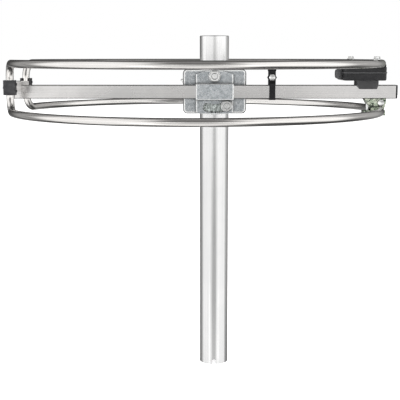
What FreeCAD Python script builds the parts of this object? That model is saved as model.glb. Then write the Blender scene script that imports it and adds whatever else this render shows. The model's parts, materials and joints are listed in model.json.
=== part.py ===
import FreeCAD, Part
import Sketcher
import math
import os
import re

# Ring-shaped folded dipole for VHF radio on a short mast, in millimetres.
# Origin: centre of the mast's foot. +Z runs up the mast, -Y is the front, where the boom is,
# and +X points along the boom to the feed box.

doc = FreeCAD.newDocument("ring_dipole")
sheet = doc.addObject("Spreadsheet::Sheet", "dims")
Vector = FreeCAD.Vector

DRIVING = {
    "play": 0.2,              # gap between faces that move past each other
    "fit": 0.05,              # radial gap of a running fit
    "mast_dia": 40, "mast_wall": 1.5, "mast_length": 464,
    "foot_slot": 5, "foot_slot_rise": 7, "foot_slot_round": 2.2,
    "boom_height": 389, "boom_side": 18, "boom_wall": 1.2,
    "boom_left": 243, "boom_right": 267.6,         # reach from the ring's centre
    "cap_thick": 2.3, "plug_depth": 12,
    "ring_dia": 500, "ring_offset": 25, "tube_dia": 10, "tube_wall": 1,
    "upper_rise": 38, "lower_drop": 24, "gap_half": 55.8, "bend_radius": 20,
    "splice_reach": 92, "splice_length": 20, "splice_bolt": 100, "feed_gap": 8,
    "splice_dia": 4, "splice_flats": 7, "splice_head": 3, "splice_washer": 10, "joint_reach": 20,
    "standoff": 6, "plate_width": 86, "plate_height": 60, "plate_thick": 2.5,
    "plate_flange": 10, "plate_corner": 6, "plate_edge": 1.8,
    "stud_pitch": 66, "stud_dia": 8, "stud_end": 44, "stud_tip": 1,
    "collar_dia": 11, "collar_rise": 1.2,
    "bracket_width": 51, "bracket_thick": 2, "arch_top": 28.5, "arch_side": 22.8,
    "skirt_side": 28.6, "skirt_middle": 31.3,
    "pivot_rise": 20.5, "bolt_dia": 8, "lock_reach": 43.2, "lock_angle": 22.6,
    "slot_width": 12, "tilt_range": 36, "tooth_step": 6, "notch_dia": 1.8,
    "washer_dia": 16, "washer_thick": 1.5, "washer_play": 0.2,
    "nut_flats": 13, "nut_thick": 6.5, "nut_slope": 1.7, "thread_out": 1.5,
    "head_dia": 13.5, "head_thick": 3.5, "crown_rise": 1.5, "crown_inset": 3,
    "jaw_width": 84, "jaw_height": 24, "jaw_thick": 2.5, "jaw_web": 24, "jaw_front": 6,
    "jaw_tooth": 1.2, "jaw_teeth": 6, "jaw_nose": 8, "jaw_hole_play": 0.5,
    "wing_reach": 20, "wing_thick": 3, "wing_rise": 13, "ear_start": 3, "ear_dia": 10,
    "hub_thick": 9, "hub_dia": 15, "hub_top_dia": 11.2,
    "clip_x": 102, "clip_band": 8, "clip_thick": 1.6, "clip_width": 11, "clip_depth": 6,
    "clip_bolt_rise": 19, "clip_bolt_dia": 5, "cable_dia": 6.8, "cable_rise": 32.5,
    "box_left": 194, "box_right": 250.7, "box_depth": 64, "box_floor": 15.5, "box_seam": 25.7,
    "box_top": 33, "box_wall": 2, "box_corner": 5,
    "neck_left": 214.5, "neck_right": 243.5, "neck_drop": 3.8, "neck_taper": 4, "skirt_thick": 3,
    "gland_dia": 13, "gland_length": 9, "gland_neck": 9,
    "through_x": 232, "through_dia": 6, "through_flats": 10, "through_head": 4,
    "saddle_left": 226.5, "saddle_right": 254.5, "saddle_depth": 20, "saddle_taper": 8,
    "strap_thick": 2.5, "strap_left": 7, "strap_right": 9,
    "pinch_x": 247.4, "pinch_drop": 14.4, "pinch_dia": 4, "pinch_flats": 8, "pinch_head": 2.8,
    "pinch_nut": 3.2,
    "block_width": 14.6, "block_height": 19, "block_depth": 13, "block_wall": 2.2,
    "block_rise": 7.3, "lug_dia": 3.4, "lug_rise": 1.6, "lug_offset": 4.2,
    "spreader_width": 10, "spreader_rise": 13,
    "screw_dia": 3, "screw_head": 1.8, "gap_head_dia": 4.8, "drive_slot": 0.8,
    "post_dia": 6.4, "screw_inset": 6, "cradle_length": 15, "cradle_inset": 3,
    "terminal_dia": 3.2, "terminal_depth": 8, "terminal_inset": 10, "terminal_head_dia": 5,
    "lug_length": 11, "lug_width": 7, "lug_thick": 0.8, "insert_length": 20,
    "board_thick": 1.6, "board_lift": 4, "board_left": 13, "board_right": 6.5, "board_half": 22,
    "core_left": 15, "core_length": 12, "core_half": 6.5, "core_height": 7,
    "core_hole_dia": 3.6, "core_pitch": 6,
    "gland_offset": 14, "gland_lip": 0.9, "gland_stem_depth": 6, "flute_dia": 1.4,
    "through_play": 0.2, "through_washer_dia": 12, "through_washer_thick": 1.2,
    "through_nut_thick": 5, "through_end": 7.5,
    "clip_boss": 1, "clip_flats": 8, "clip_head": 3.2, "clip_nut_thick": 4, "clip_bolt_end": 5,
}

for row, (alias, number) in enumerate(DRIVING.items(), start=1):
    sheet.set(f"A{row}", alias)
    sheet.set(f"B{row}", str(number))
    sheet.setAlias(f"B{row}", alias)
doc.recompute()

names = {alias: f"dims.{alias}" for alias in DRIVING}


def expr(text):
    """Turn a formula in plain names into one that points at the sheet."""
    return re.sub(r"[a-z]\w*", lambda word: names.get(word.group(), word.group()), str(text))


def value(text):
    """The number that a formula in plain names has now."""
    return float(sheet.evalExpression(expr(text)))


def derive(name, text):
    names[name] = f"({expr(text)})"


# Fore-and-aft places, from the mast's axis towards the viewer.
derive("mast_radius", "mast_dia / 2")
derive("plate_back", "-(mast_radius + standoff)")
derive("plate_front", "plate_back - plate_thick")
derive("pad_back", "plate_front - play")
derive("pad_front", "pad_back - bracket_thick")
derive("boom_back", "pad_back - play")
derive("boom_half", "boom_side / 2")
derive("boom_y", "boom_back - boom_half")
derive("boom_front", "boom_back - boom_side")
derive("band_back", "boom_front - play")
derive("band_front", "band_back - bracket_thick")
# Heights and the places along the boom.
derive("boom_z", "boom_height")
derive("boom_top", "boom_z + boom_half")
derive("boom_under", "boom_z - boom_half")
derive("upper_z", "boom_z + upper_rise")
derive("lower_z", "boom_z - lower_drop")
derive("ring_x", "-ring_offset")
derive("ring_radius", "(ring_dia - tube_dia) / 2")
derive("tube_radius", "tube_dia / 2")
derive("bore_radius", "tube_radius - tube_wall")
derive("pivot_z", "boom_z + pivot_rise")
derive("lock_x", "lock_reach * sin(lock_angle * 1 deg)")
derive("lock_z", "pivot_z - lock_reach * cos(lock_angle * 1 deg)")
derive("bolt_radius", "bolt_dia / 2")
derive("box_x0", "ring_x + box_left")
derive("box_x1", "ring_x + box_right")
derive("box_front", "boom_y - box_depth / 2")
derive("box_back", "boom_y + box_depth / 2")
derive("box_z0", "boom_z + box_floor")
derive("box_z1", "boom_z + box_top")
derive("seam_z", "boom_z + box_seam")
derive("floor_z", "box_z0 + box_wall")
derive("through", "ring_x + through_x")
derive("column_radius", "sqrt(ring_radius^2 + bend_radius^2)")
derive("gap_x", "ring_x - sqrt(column_radius^2 - gap_half^2)")
derive("block_z", "boom_z + block_rise")
derive("clip_place", "ring_x + clip_x")

AXIS_TURN = {
    "X": FreeCAD.Rotation(Vector(0, 1, 0), 90),
    "Y": FreeCAD.Rotation(Vector(1, 0, 0), -90),
    "Z": FreeCAD.Rotation(),
}
pieces = {}


def bind(obj, **formulas):
    for prop, text in formulas.items():
        obj.setExpression(prop, expr(text))
    return obj


def place(obj, x=0, y=0, z=0):
    for side, text in (("x", x), ("y", y), ("z", z)):
        obj.setExpression(f".Placement.Base.{side}", expr(text))
    return obj


def block(name, x, y, z):
    """A box between two formulas along each axis."""
    obj = doc.addObject("Part::Box", name)
    spans = {"Length": x, "Width": y, "Height": z}
    bind(obj, **{prop: f"({high}) - ({low})" for prop, (low, high) in spans.items()})
    return place(obj, x[0], y[0], z[0])


def along(obj, axis, start, across):
    """Stand an upright solid on its start, along an axis; across holds its two other places."""
    obj.Placement = FreeCAD.Placement(Vector(), AXIS_TURN[axis])
    spots = {"X": (start, *across), "Y": (across[0], start, across[1]), "Z": (*across, start)}
    return place(obj, *spots[axis])


def rod(name, axis, radius, span, across):
    obj = doc.addObject("Part::Cylinder", name)
    bind(obj, Radius=radius, Height=f"({span[1]}) - ({span[0]})")
    return along(obj, axis, span[0], across)


def hexagon(name, axis, flats, span, across):
    obj = doc.addObject("Part::Prism", name)
    obj.Polygon = 6
    bind(obj, Circumradius=f"({flats}) / sqrt(3)", Height=f"({span[1]}) - ({span[0]})")
    return along(obj, axis, span[0], across)


def cone(name, axis, radii, span, across):
    obj = doc.addObject("Part::Cone", name)
    bind(obj, Radius1=radii[0], Radius2=radii[1], Height=f"({span[1]}) - ({span[0]})")
    return along(obj, axis, span[0], across)


def fuse(name, *solids):
    obj = doc.addObject("Part::MultiFuse", name)
    obj.Shapes = list(solids)
    obj.Refine = True
    return obj


def gather(name, *solids):
    """One object that holds several separate solids."""
    obj = doc.addObject("Part::Compound", name)
    obj.Links = list(solids)
    return obj


def cut(name, base, *tools):
    obj = doc.addObject("Part::Cut", name)
    obj.Base = base
    obj.Tool = tools[0] if len(tools) == 1 else fuse(f"{name}_tools", *tools)
    return obj


def common(name, first, second):
    obj = doc.addObject("Part::MultiCommon", name)
    obj.Shapes = [first, second]
    return obj


def shaped(name, shape):
    obj = doc.addObject("Part::Feature", name)
    obj.Shape = shape
    return obj


def piece(label, obj):
    obj.Label = label
    pieces[label] = obj
    return obj


def origin_plane(body, role):
    return next(item for item in body.Origin.OriginFeatures if item.Role == role)


def new_body(name):
    return doc.addObject("PartDesign::Body", f"{name}_body")


def new_sketch(body, name, role, offset=None):
    """A sketch on one of the body's own planes, lifted along that plane's normal."""
    sketch = body.newObject("Sketcher::SketchObject", name)
    sketch.AttachmentSupport = [(origin_plane(body, role), "")]
    sketch.MapMode = "FlatFace"
    if offset is not None:
        sketch.setExpression(".AttachmentOffset.Base.z", expr(offset))
    return sketch


def limit(sketch, kind, *where, size):
    """Add a distance or radius constraint whose size is a formula."""
    index = sketch.addConstraint(Sketcher.Constraint(kind, *where, value(size)))
    sketch.setExpression(f"Constraints[{index}]", expr(size))


def rectangle(sketch, u, v):
    """A rectangle between two formulas along each of the sketch's axes."""
    low_u, high_u, low_v, high_v = (value(text) for text in (*u, *v))
    corners = [(low_u, low_v), (high_u, low_v), (high_u, high_v), (low_u, high_v)]
    first = sketch.GeometryCount
    for step in range(4):
        start = Vector(*corners[step], 0)
        end = Vector(*corners[(step + 1) % 4], 0)
        sketch.addGeometry(Part.LineSegment(start, end), False)
    for step in range(4):
        sketch.addConstraint(Sketcher.Constraint("Coincident", first + step, 2, first + (step + 1) % 4, 1))
    for step, kind in enumerate(("Horizontal", "Vertical", "Horizontal", "Vertical")):
        sketch.addConstraint(Sketcher.Constraint(kind, first + step))
    for kind, corner, size in (("DistanceX", first, u[0]), ("DistanceY", first, v[0]),
                               ("DistanceX", first + 2, u[1]), ("DistanceY", first + 2, v[1])):
        limit(sketch, kind, corner, 1, size=size)


def circle(sketch, radius):
    """A circle about the sketch's origin."""
    index = sketch.addGeometry(Part.Circle(Vector(), Vector(0, 0, 1), value(radius)), False)
    sketch.addConstraint(Sketcher.Constraint("Coincident", index, 3, -1, 1))
    limit(sketch, "Radius", index, size=radius)


def pad(body, sketch, length, back=False):
    feature = body.newObject("PartDesign::Pad", f"{sketch.Name}_pad")
    feature.Profile = sketch
    feature.Reversed = back
    bind(feature, Length=length)
    doc.recompute()
    return feature


def pocket(body, sketch, depth, back=False):
    before = body.Shape.Volume
    feature = body.newObject("PartDesign::Pocket", f"{sketch.Name}_pocket")
    feature.Profile = sketch
    feature.Reversed = back
    bind(feature, Length=depth)
    doc.recompute()
    if body.Shape.Volume >= before:
        raise RuntimeError(f"{feature.Name} cut nothing")
    return feature


def round_edges(body, feature, edges, radius):
    fillet = body.newObject("PartDesign::Fillet", f"{feature.Name}_round")
    fillet.Base = (feature, edges)
    bind(fillet, Radius=radius)
    doc.recompute()
    return fillet


def edges_where(shape, test):
    return [f"Edge{index}" for index, edge in enumerate(shape.Edges, start=1) if test(edge)]


def is_along(edge, axis):
    """A straight edge that lies along an axis."""
    if edge.Curve.TypeId != "Part::GeomLine":
        return False
    return abs(abs(edge.Curve.Direction.dot(axis)) - 1) < 1e-6


def rounded_box(name, x, y, z, corner):
    """A body padded from a plan rectangle between two heights, with round upright corners."""
    body = new_body(name)
    plan = new_sketch(body, f"{name}_plan", "XY_Plane", z[0])
    rectangle(plan, x, y)
    solid = pad(body, plan, f"({z[1]}) - ({z[0]})")
    upright = edges_where(solid.Shape, lambda edge: is_along(edge, Vector(0, 0, 1)))
    round_edges(body, solid, upright, corner)
    return body


# --- Mast ---------------------------------------------------------------------------------

def make_mast():
    """Drawn tube with a short locating slot in the front of its foot."""
    body = new_body("mast")
    section = new_sketch(body, "mast_section", "XY_Plane")
    circle(section, "mast_radius")
    circle(section, "mast_radius - mast_wall")
    pad(body, section, "mast_length")
    slot = new_sketch(body, "mast_slot", "XZ_Plane")
    rectangle(slot, ("-foot_slot / 2", "foot_slot / 2"), ("-foot_slot", "foot_slot_rise"))
    feature = pocket(body, slot, "mast_dia", back=True)
    top_edges = edges_where(feature.Shape, lambda edge: (
        is_along(edge, Vector(0, 1, 0)) and edge.CenterOfMass.z > value("foot_slot_rise") - 0.01))
    round_edges(body, feature, top_edges, "foot_slot_round")
    return piece("mast_tube", body)


# --- Mast clamp ---------------------------------------------------------------------------

def make_clamp_plate():
    """Pressed tray: flat front, rolled rim, and end flanges cut to seat on the mast."""
    body = new_body("plate")
    face = new_sketch(body, "plate_face", "XZ_Plane")
    half_width = "plate_width / 2"
    half_height = "plate_height / 2"
    rectangle(face, (f"-({half_width})", half_width),
              (f"boom_z - {half_height}", f"boom_z + {half_height}"))
    face.setExpression(".AttachmentOffset.Base.z", expr("-plate_front"))
    solid = pad(body, face, "plate_thick + plate_flange", back=True)
    deep = edges_where(solid.Shape, lambda edge: is_along(edge, Vector(0, 1, 0)))
    rounded = round_edges(body, solid, deep, "plate_corner")
    front = edges_where(rounded.Shape, lambda edge: (
        edge.BoundBox.YMax < value("plate_front") + 0.01))
    rounded = round_edges(body, rounded, front, "plate_edge")
    well = new_sketch(body, "plate_well", "XZ_Plane", "-(plate_back + plate_flange)")
    inner_width = f"{half_width} - plate_thick"
    inner_height = f"{half_height} - plate_thick"
    rectangle(well, (f"-({inner_width})", inner_width),
              (f"boom_z - ({inner_height})", f"boom_z + ({inner_height})"))
    pocket(body, well, "plate_flange", back=True)
    seat = rod("plate_seat", "Z", "mast_radius + fit",
               ("boom_z - plate_height", "boom_z + plate_height"), ("0", "0"))
    pivot = rod("plate_pivot_hole", "Y", "bolt_radius",
                ("plate_front - 1", "plate_back + 1"), ("0", "pivot_z"))
    lock = rod("plate_lock_hole", "Y", "bolt_radius",
               ("plate_front - 1", "plate_back + 1"), ("lock_x", "lock_z"))
    return piece("clamp_plate", cut("plate_cut", body, seat, pivot, lock))


def make_clamp_studs():
    """Two threaded studs, each with a weld collar, that reach back past the mast."""
    studs = []
    for side, sign in (("left", "-"), ("right", "")):
        spot = (f"{sign}stud_pitch / 2", "boom_z")
        shank = rod(f"stud_{side}", "Y", "stud_dia / 2", ("plate_back", "stud_end - stud_tip"), spot)
        tip = cone(f"stud_tip_{side}", "Y", ("stud_dia / 2", "stud_dia / 2 - stud_tip"),
                   ("stud_end - stud_tip", "stud_end"), spot)
        collar = rod(f"stud_collar_{side}", "Y", "collar_dia / 2",
                     ("plate_back", "plate_back + collar_rise"), spot)
        studs.append(fuse(f"weld_stud_{side}", shank, tip, collar))
    return piece("clamp_studs", gather("studs", *studs))


def make_bolt_set(node, x, z):
    """Carriage bolt from behind the plate, with its washer and nut in front of the bracket."""
    washer_front = "pad_front - play - washer_thick"
    nut_front = f"{washer_front} - nut_thick"
    shank = rod(f"{node}_shank", "Y", "bolt_radius",
                (f"{nut_front} - thread_out", "plate_back"), (x, z))
    crown_y = "plate_back + head_thick - crown_rise"
    head = rod(f"{node}_head", "Y", "head_dia / 2", ("plate_back", crown_y), (x, z))
    crown = cone(f"{node}_crown", "Y", ("head_dia / 2", "head_dia / 2 - crown_inset"),
                 (crown_y, "plate_back + head_thick"), (x, z))
    piece(f"{node}_bolt", fuse(f"{node}_solid", shank, head, crown))
    disc = rod(f"{node}_disc", "Y", "washer_dia / 2",
               (washer_front, "pad_front - play"), (x, z))
    eye = rod(f"{node}_eye", "Y", "bolt_radius + washer_play",
              (f"{washer_front} - 1", "pad_front"), (x, z))
    piece(f"{node}_washer", cut(f"{node}_ring", disc, eye))
    blank = hexagon(f"{node}_blank", "Y", "nut_flats", (nut_front, washer_front), (x, z))
    bevel = cone(f"{node}_bevel", "Y", ("nut_flats / 2", "nut_flats / 2 + nut_thick * nut_slope"),
                 (nut_front, washer_front), (x, z))
    chamfered = common(f"{node}_chamfered", blank, bevel)
    thread = rod(f"{node}_thread", "Y", "bolt_radius",
                 (f"{nut_front} - 1", f"{washer_front} + 1"), (x, z))
    piece(f"{node}_nut", cut(f"{node}_nut_cut", chamfered, thread))


def jaw_outline():
    """Plan of a jaw flange: a toothed V that faces the mast, open towards the front."""
    half_width = value("jaw_width / 2")
    back = value("jaw_web")
    front = value("jaw_front")
    tooth = value("jaw_tooth")
    touch = value("mast_radius + play")
    apex = touch * math.sqrt(2)
    count = int(value("jaw_teeth"))
    low_x = apex - back
    high_x = apex - front
    right = []
    for step in range(count + 1):
        x = low_x + (high_x - low_x) * step / count
        right.append(Vector(x, apex - x, 0))
        if step < count:
            middle = low_x + (high_x - low_x) * (step + 0.5) / count
            inset = tooth / math.sqrt(2)
            right.append(Vector(middle + inset, apex - middle + inset, 0))
    right += [Vector(half_width, front + value("jaw_nose"), 0), Vector(half_width, back, 0)]
    right.append(right[0])
    return Part.Face(Part.makePolygon(right))


def make_jaw():
    """Folded strip behind the mast: a flat web and two toothed flanges."""
    half_height = value("jaw_height / 2")
    thick = value("jaw_thick")
    centre = value("boom_z")
    parts = [Part.makeBox(value("jaw_width"), thick, value("jaw_height"),
                          Vector(-value("jaw_width / 2"), value("jaw_web"), centre - half_height))]
    tooth_half = jaw_outline()
    for base in (centre - half_height, centre + half_height - thick):
        flange = tooth_half.extrude(Vector(0, 0, thick))
        flange.translate(Vector(0, 0, base))
        parts += [flange, flange.mirror(Vector(), Vector(1, 0, 0))]
    folded = parts[0].multiFuse(parts[1:]).removeSplitter()
    blank = shaped("jaw_blank", folded)
    holes = [rod(f"jaw_hole_{side}", "Y", "stud_dia / 2 + jaw_hole_play",
                 ("jaw_web - 1", "jaw_web + jaw_thick + 1"), (f"{sign}stud_pitch / 2", "boom_z"))
             for side, sign in (("left", "-"), ("right", ""))]
    return piece("clamp_jaw", cut("jaw_cut", blank, *holes))


def make_wing_nut(side, sign, turn):
    """Hub with two raised ears; turn is the angle of its first ear above +X."""
    seat = "jaw_web + jaw_thick + play"
    spot = (f"{sign}stud_pitch / 2", "boom_z")
    hub = cone(f"hub_{side}", "Y", ("hub_dia / 2", "hub_top_dia / 2"), (seat, f"{seat} + hub_thick"),
               spot)
    low = value("-wing_thick / 2")
    solids = [hub]
    for index in range(2):
        ear = doc.addObject("Part::Box", f"ear_{side}_{index}")
        bind(ear, Length="wing_reach - ear_dia / 2", Width="wing_rise - ear_start", Height="wing_thick")
        tip = doc.addObject("Part::Cylinder", f"ear_tip_{side}_{index}")
        bind(tip, Radius="ear_dia / 2", Height="wing_thick")
        angle = turn + 180 * index
        slope = FreeCAD.Rotation(Vector(0, 1, 0), -angle)
        centre = Vector(value(spot[0]), value(seat), value(spot[1]))
        lift = Vector(0, value("ear_start"), low)
        ear.Placement = FreeCAD.Placement(centre + slope.multVec(lift), slope)
        reach = Vector(value("wing_reach - ear_dia / 2"), value("wing_rise - ear_start + 1"), low)
        tip.Placement = FreeCAD.Placement(centre + slope.multVec(reach), slope)
        solids += [ear, tip]
    bore = rod(f"wing_bore_{side}", "Y", "stud_dia / 2 + fit",
               (f"{seat} - 1", f"{seat} + 2 * hub_thick"), spot)
    nut = cut(f"wing_{side}_cut", fuse(f"wing_{side}_blank", *solids), bore)
    return piece(f"wing_nut_{side}", nut)


# --- Tilt bracket -------------------------------------------------------------------------

def arc_cylinder(name, edge_z, side_z, upward):
    """Cylinder whose outline runs through the middle and the two sides of a flange's rim."""
    obj = doc.addObject("Part::Cylinder", name)
    sagitta = f"abs(({edge_z}) - ({side_z}))"
    formula = f"((bracket_width / 2)^2 + ({sagitta})^2) / (2 * {sagitta})"
    bind(obj, Radius=formula, Height="bracket_thick + 2")
    sign = "-" if upward else "+"
    return along(obj, "Y", "pad_front - 1", ("0", f"({edge_z}) {sign} {formula}"))


def make_bracket():
    """Pressed strap over the boom, with an arched pivot flange and a slotted lock flange."""
    x = ("-bracket_width / 2", "bracket_width / 2")
    wall_in = "boom_half + play"
    wall_out = f"{wall_in} + bracket_thick"
    pads = ("pad_front", "pad_back")
    upper = common("upper_flange",
                   block("upper_blank", x, pads, (f"boom_z + {wall_in}", "boom_z + arch_top")),
                   arc_cylinder("arch_rim", "boom_z + arch_top", "boom_z + arch_side", True))
    lower = common("lower_flange",
                   block("lower_blank", x, pads, ("boom_z - skirt_middle", f"boom_z - ({wall_in})")),
                   arc_cylinder("skirt_rim", "boom_z - skirt_middle", "boom_z - skirt_side", False))
    roof = block("band_roof", x, ("band_front", "pad_back"),
                 (f"boom_z + {wall_in}", f"boom_z + {wall_out}"))
    sole = block("band_sole", x, ("band_front", "pad_back"),
                 (f"boom_z - ({wall_out})", f"boom_z - ({wall_in})"))
    front = block("band_front_wall", x, ("band_front", "band_back"),
                  (f"boom_z - ({wall_out})", f"boom_z + {wall_out}"))
    strap = fuse("bracket_blank", upper, lower, roof, sole, front)
    through = ("pad_front - 1", "pad_back + 1")
    pivot = rod("bracket_pivot_hole", "Y", "bolt_radius + fit", through, ("0", "pivot_z"))
    return piece("tilt_bracket", cut("bracket_cut", strap, pivot, *lock_slot(through)))


def lock_slot(through):
    """Curved slot about the pivot, round at both ends, with grip notches along its outer edge."""
    half = value("slot_width / 2")
    reach = value("lock_reach")
    first = value("lock_angle")
    last = first - value("tilt_range")
    depth = value(through[1]) - value(through[0])
    start = Vector(0, value(through[0]), value("pivot_z"))
    turn = FreeCAD.Rotation(Vector(1, 0, 0), -90)
    sweep = []
    for radius in (reach + half, reach - half):
        sweep.append(Part.makeCylinder(radius, depth, Vector(), Vector(0, 0, 1), first - last))
    sector = sweep[0].cut(sweep[1])
    # A cylinder's sweep starts on +X; here it starts at the slot's last end, below the pivot.
    swing = FreeCAD.Rotation(Vector(0, 1, 0), 90 - first)
    sector.Placement = FreeCAD.Placement(start, swing.multiply(turn))
    ends = [slot_rod(f"slot_end_{index}", angle, reach, half, start, depth)
            for index, angle in enumerate((first, last))]
    step = value("tooth_step")
    count = int((first - last) / step)
    notches = [slot_rod(f"slot_notch_{index}", last + step * (index + 0.5), reach + half,
                        value("notch_dia / 2"), start, depth) for index in range(count)]
    return [shaped("slot_sector", sector), *ends, *notches]


def slot_rod(name, angle, reach, radius, start, depth):
    """Round cutter along Y at an angle from straight down about the pivot."""
    swing = math.radians(angle)
    centre = start + Vector(reach * math.sin(swing), 0, -reach * math.cos(swing))
    return shaped(name, Part.makeCylinder(radius, depth, centre, Vector(0, 1, 0)))


# --- Boom ---------------------------------------------------------------------------------

def make_boom():
    """Square tube with round screw holes through its top and underside."""
    body = new_body("boom")
    section = new_sketch(body, "boom_section", "YZ_Plane", "ring_x - boom_left")
    for inset in ("0", "boom_wall"):
        rectangle(section, (f"boom_front + {inset}", f"boom_back - {inset}"),
                  (f"boom_under + {inset}", f"boom_top - {inset}"))
    pad(body, section, "boom_left + boom_right")
    full = ("boom_under - 1", "boom_top + 1")
    through = rod("boom_through", "Z", "through_dia / 2 + through_play", full, ("through", "boom_y"))
    spreader = rod("boom_spreader_hole", "Z", "screw_dia / 2",
                   ("boom_z", "boom_top + 1"), ("gap_x", "boom_y"))
    return piece("boom_tube", cut("boom_cut", body, through, spreader))


def make_boom_ends():
    """Moulded end pieces: a thin outer flange and a plug inside the tube."""
    inner = ("boom_front + boom_wall", "boom_back - boom_wall")
    inner_z = ("boom_under + boom_wall", "boom_top - boom_wall")
    ends = {
        "boom_cap_right": ("ring_x + boom_right - plug_depth", "ring_x + boom_right",
                           "ring_x + boom_right", "ring_x + boom_right + cap_thick"),
        "boom_cap_left": ("ring_x - boom_left", "ring_x - boom_left + plug_depth / 6",
                          "ring_x - boom_left - cap_thick", "ring_x - boom_left"),
    }
    for label, (plug_low, plug_high, low, high) in ends.items():
        plug = block(f"{label}_plug", (plug_low, plug_high), inner, inner_z)
        flange = block(f"{label}_flange", (low, high), ("boom_front", "boom_back"),
                       ("boom_under", "boom_top"))
        piece(label, fuse(f"{label}_solid", plug, flange))


# --- Dipole -------------------------------------------------------------------------------

def ring_point(angle, height, side):
    """Point of the ring; the angle runs from +X towards the given side, -1 front or +1 back."""
    radius = value("ring_radius")
    turn = math.radians(angle)
    return Vector(value("ring_x") + radius * math.cos(turn),
                  value("boom_y") + side * radius * math.sin(turn), height)


def ring_arc(first, last, height, side):
    middle = (first + last) / 2
    spots = [ring_point(angle, height, side) for angle in (first, middle, last)]
    return Part.Arc(*spots).toShape()


def ring_end_arc(swing, height):
    """Arc round the ring's right end, from an angle in front of the boom to one behind it."""
    spots = [ring_point(swing, height, -1), ring_point(0, height, 1), ring_point(swing, height, 1)]
    return Part.Arc(*spots).toShape()


def pipe(path, radius):
    """Solid round bar along a smooth path."""
    wire = Part.Wire(path)
    start = path[0].valueAt(path[0].FirstParameter)
    direction = path[0].tangentAt(path[0].FirstParameter)
    profile = Part.Wire([Part.makeCircle(radius, start, direction)])
    return wire.makePipeShell([profile], True, False)


def splice_angle(reach):
    """Angle of the ring at a distance in front of or behind the boom."""
    return math.degrees(math.asin(value(reach) / value("ring_radius")))


def dipole_path(side):
    """Centre line of one half: upper arc, U-bend beside the gap, lower arc."""
    radius = value("ring_radius")
    bend = value("bend_radius")
    upper, lower = value("upper_z"), value("lower_z")
    column = math.asin(value("gap_half / column_radius"))
    gap = math.degrees(column + math.atan(bend / radius))
    turn_off = 180 - gap
    leave = math.radians(turn_off)
    forward = Vector(-math.sin(leave), side * math.cos(leave), 0)
    top = ring_point(turn_off, upper, side)
    bottom = ring_point(turn_off, lower, side)
    down = Vector(0, 0, -1)
    near = math.sqrt(0.5)
    corner_in = top + forward * bend * near + down * bend * (1 - near)
    column_top = top + forward * bend + down * bend
    column_bottom = bottom + forward * bend - down * bend
    corner_out = bottom + forward * bend * near - down * bend * (1 - near)
    return [
        ring_arc(splice_angle("splice_reach"), turn_off, upper, side),
        Part.Arc(top, corner_in, column_top).toShape(),
        Part.LineSegment(column_top, column_bottom).toShape(),
        Part.Arc(column_bottom, corner_out, bottom).toShape(),
        ring_arc(turn_off, 0, lower, side),
    ]


def make_dipole_half(name, side):
    """Bent tube with a hole for its splice screw and a cross hole for its gap screw."""
    path = dipole_path(side)
    tube = pipe(path, value("tube_radius")).cut(pipe(path, value("bore_radius")))
    tube = tube.cut(splice_hole(side)).cut(gap_pin_hole(side))
    return piece(f"dipole_tube_{name}", shaped(f"dipole_{name}", tube))


def splice_hole(side):
    """Hole down through the top wall of the ring tube and of the spigot inside it."""
    spot = ring_point(splice_angle("splice_bolt"), value("upper_z"), side)
    return Part.makeCylinder(value("splice_dia / 2"), value("tube_dia"), spot)


def gap_pin_hole(side):
    """Cross hole for the screw that holds a column of the dipole in its gap block."""
    spot = Vector(value("gap_x - tube_dia"), value("boom_y") + side * value("gap_half"), value("block_z"))
    return Part.makeCylinder(value("screw_dia / 2"), value("2 * tube_dia"), spot, Vector(1, 0, 0))


def terminal_hole(side):
    """Hole for a terminal screw, up into the middle of a feed tube."""
    depth = value("terminal_depth")
    return Part.makeCylinder(value("terminal_dia / 2"), depth, terminal_spot(side) - Vector(0, 0, depth))


def make_feed_tube(name, side):
    """Short arc over the feed box, with a thinner spigot that enters the ring tube."""
    upper = value("upper_z")
    near = splice_angle("feed_gap")
    joint = splice_angle("splice_reach")
    end = splice_angle("splice_reach + splice_length")
    body_path = [ring_arc(near, joint, upper, side)]
    spigot_path = [ring_arc(near, end, upper, side)]
    outer = pipe(body_path, value("tube_radius")).fuse(pipe(spigot_path, value("bore_radius")))
    solid = outer.cut(pipe(spigot_path, value("bore_radius - tube_wall"))).cut(splice_hole(side))
    return piece(f"feed_tube_{name}", shaped(f"feed_{name}", solid.cut(terminal_hole(side))))


def terminal_spot(side):
    """Middle of the upper tube above a terminal, just beside the feed gap."""
    return ring_point(splice_angle("feed_gap + terminal_inset"), value("upper_z"), side)


def make_tube_insert(name, side):
    """Solid slug inside the end of a feed tube; the terminal screw threads into it."""
    near, far = splice_angle("feed_gap"), splice_angle("feed_gap + insert_length")
    slug = pipe([ring_arc(near, far, value("upper_z"), side)], value("bore_radius - tube_wall"))
    return piece(f"tube_insert_{name}", shaped(f"insert_{name}", slug.cut(terminal_hole(side))))


def make_splice_bolt(name, side):
    """Hex screw down into the splice, with a washer under its head."""
    spot = ring_point(splice_angle("splice_bolt"), value("upper_z"), side)
    top, washer = value("tube_radius"), 1
    tip = 1
    shank = Part.makeCylinder(value("splice_dia / 2"), top + tip, spot - Vector(0, 0, tip))
    disc = Part.makeCylinder(value("splice_washer / 2"), washer, spot + Vector(0, 0, top))
    head = hex_solid(value("splice_flats"), value("splice_head"), spot + Vector(0, 0, top + washer))
    return piece(f"splice_bolt_{name}", shaped(f"splice_{name}", shank.fuse([disc, head])))


def hex_solid(flats, thick, base):
    """Upright hexagonal prism on a base point."""
    radius = flats / math.sqrt(3)
    corners = [base + Vector(radius * math.cos(math.radians(60 * step)),
                             radius * math.sin(math.radians(60 * step)), 0) for step in range(7)]
    return Part.Face(Part.makePolygon(corners)).extrude(Vector(0, 0, thick))


def make_lower_joint():
    """Curved pin inside the two lower tube ends, where they meet under the boom."""
    pin = pipe([ring_end_arc(splice_angle("joint_reach"), value("lower_z"))], value("bore_radius"))
    return piece("lower_joint_pin", shaped("joint_pin", pin))


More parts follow.
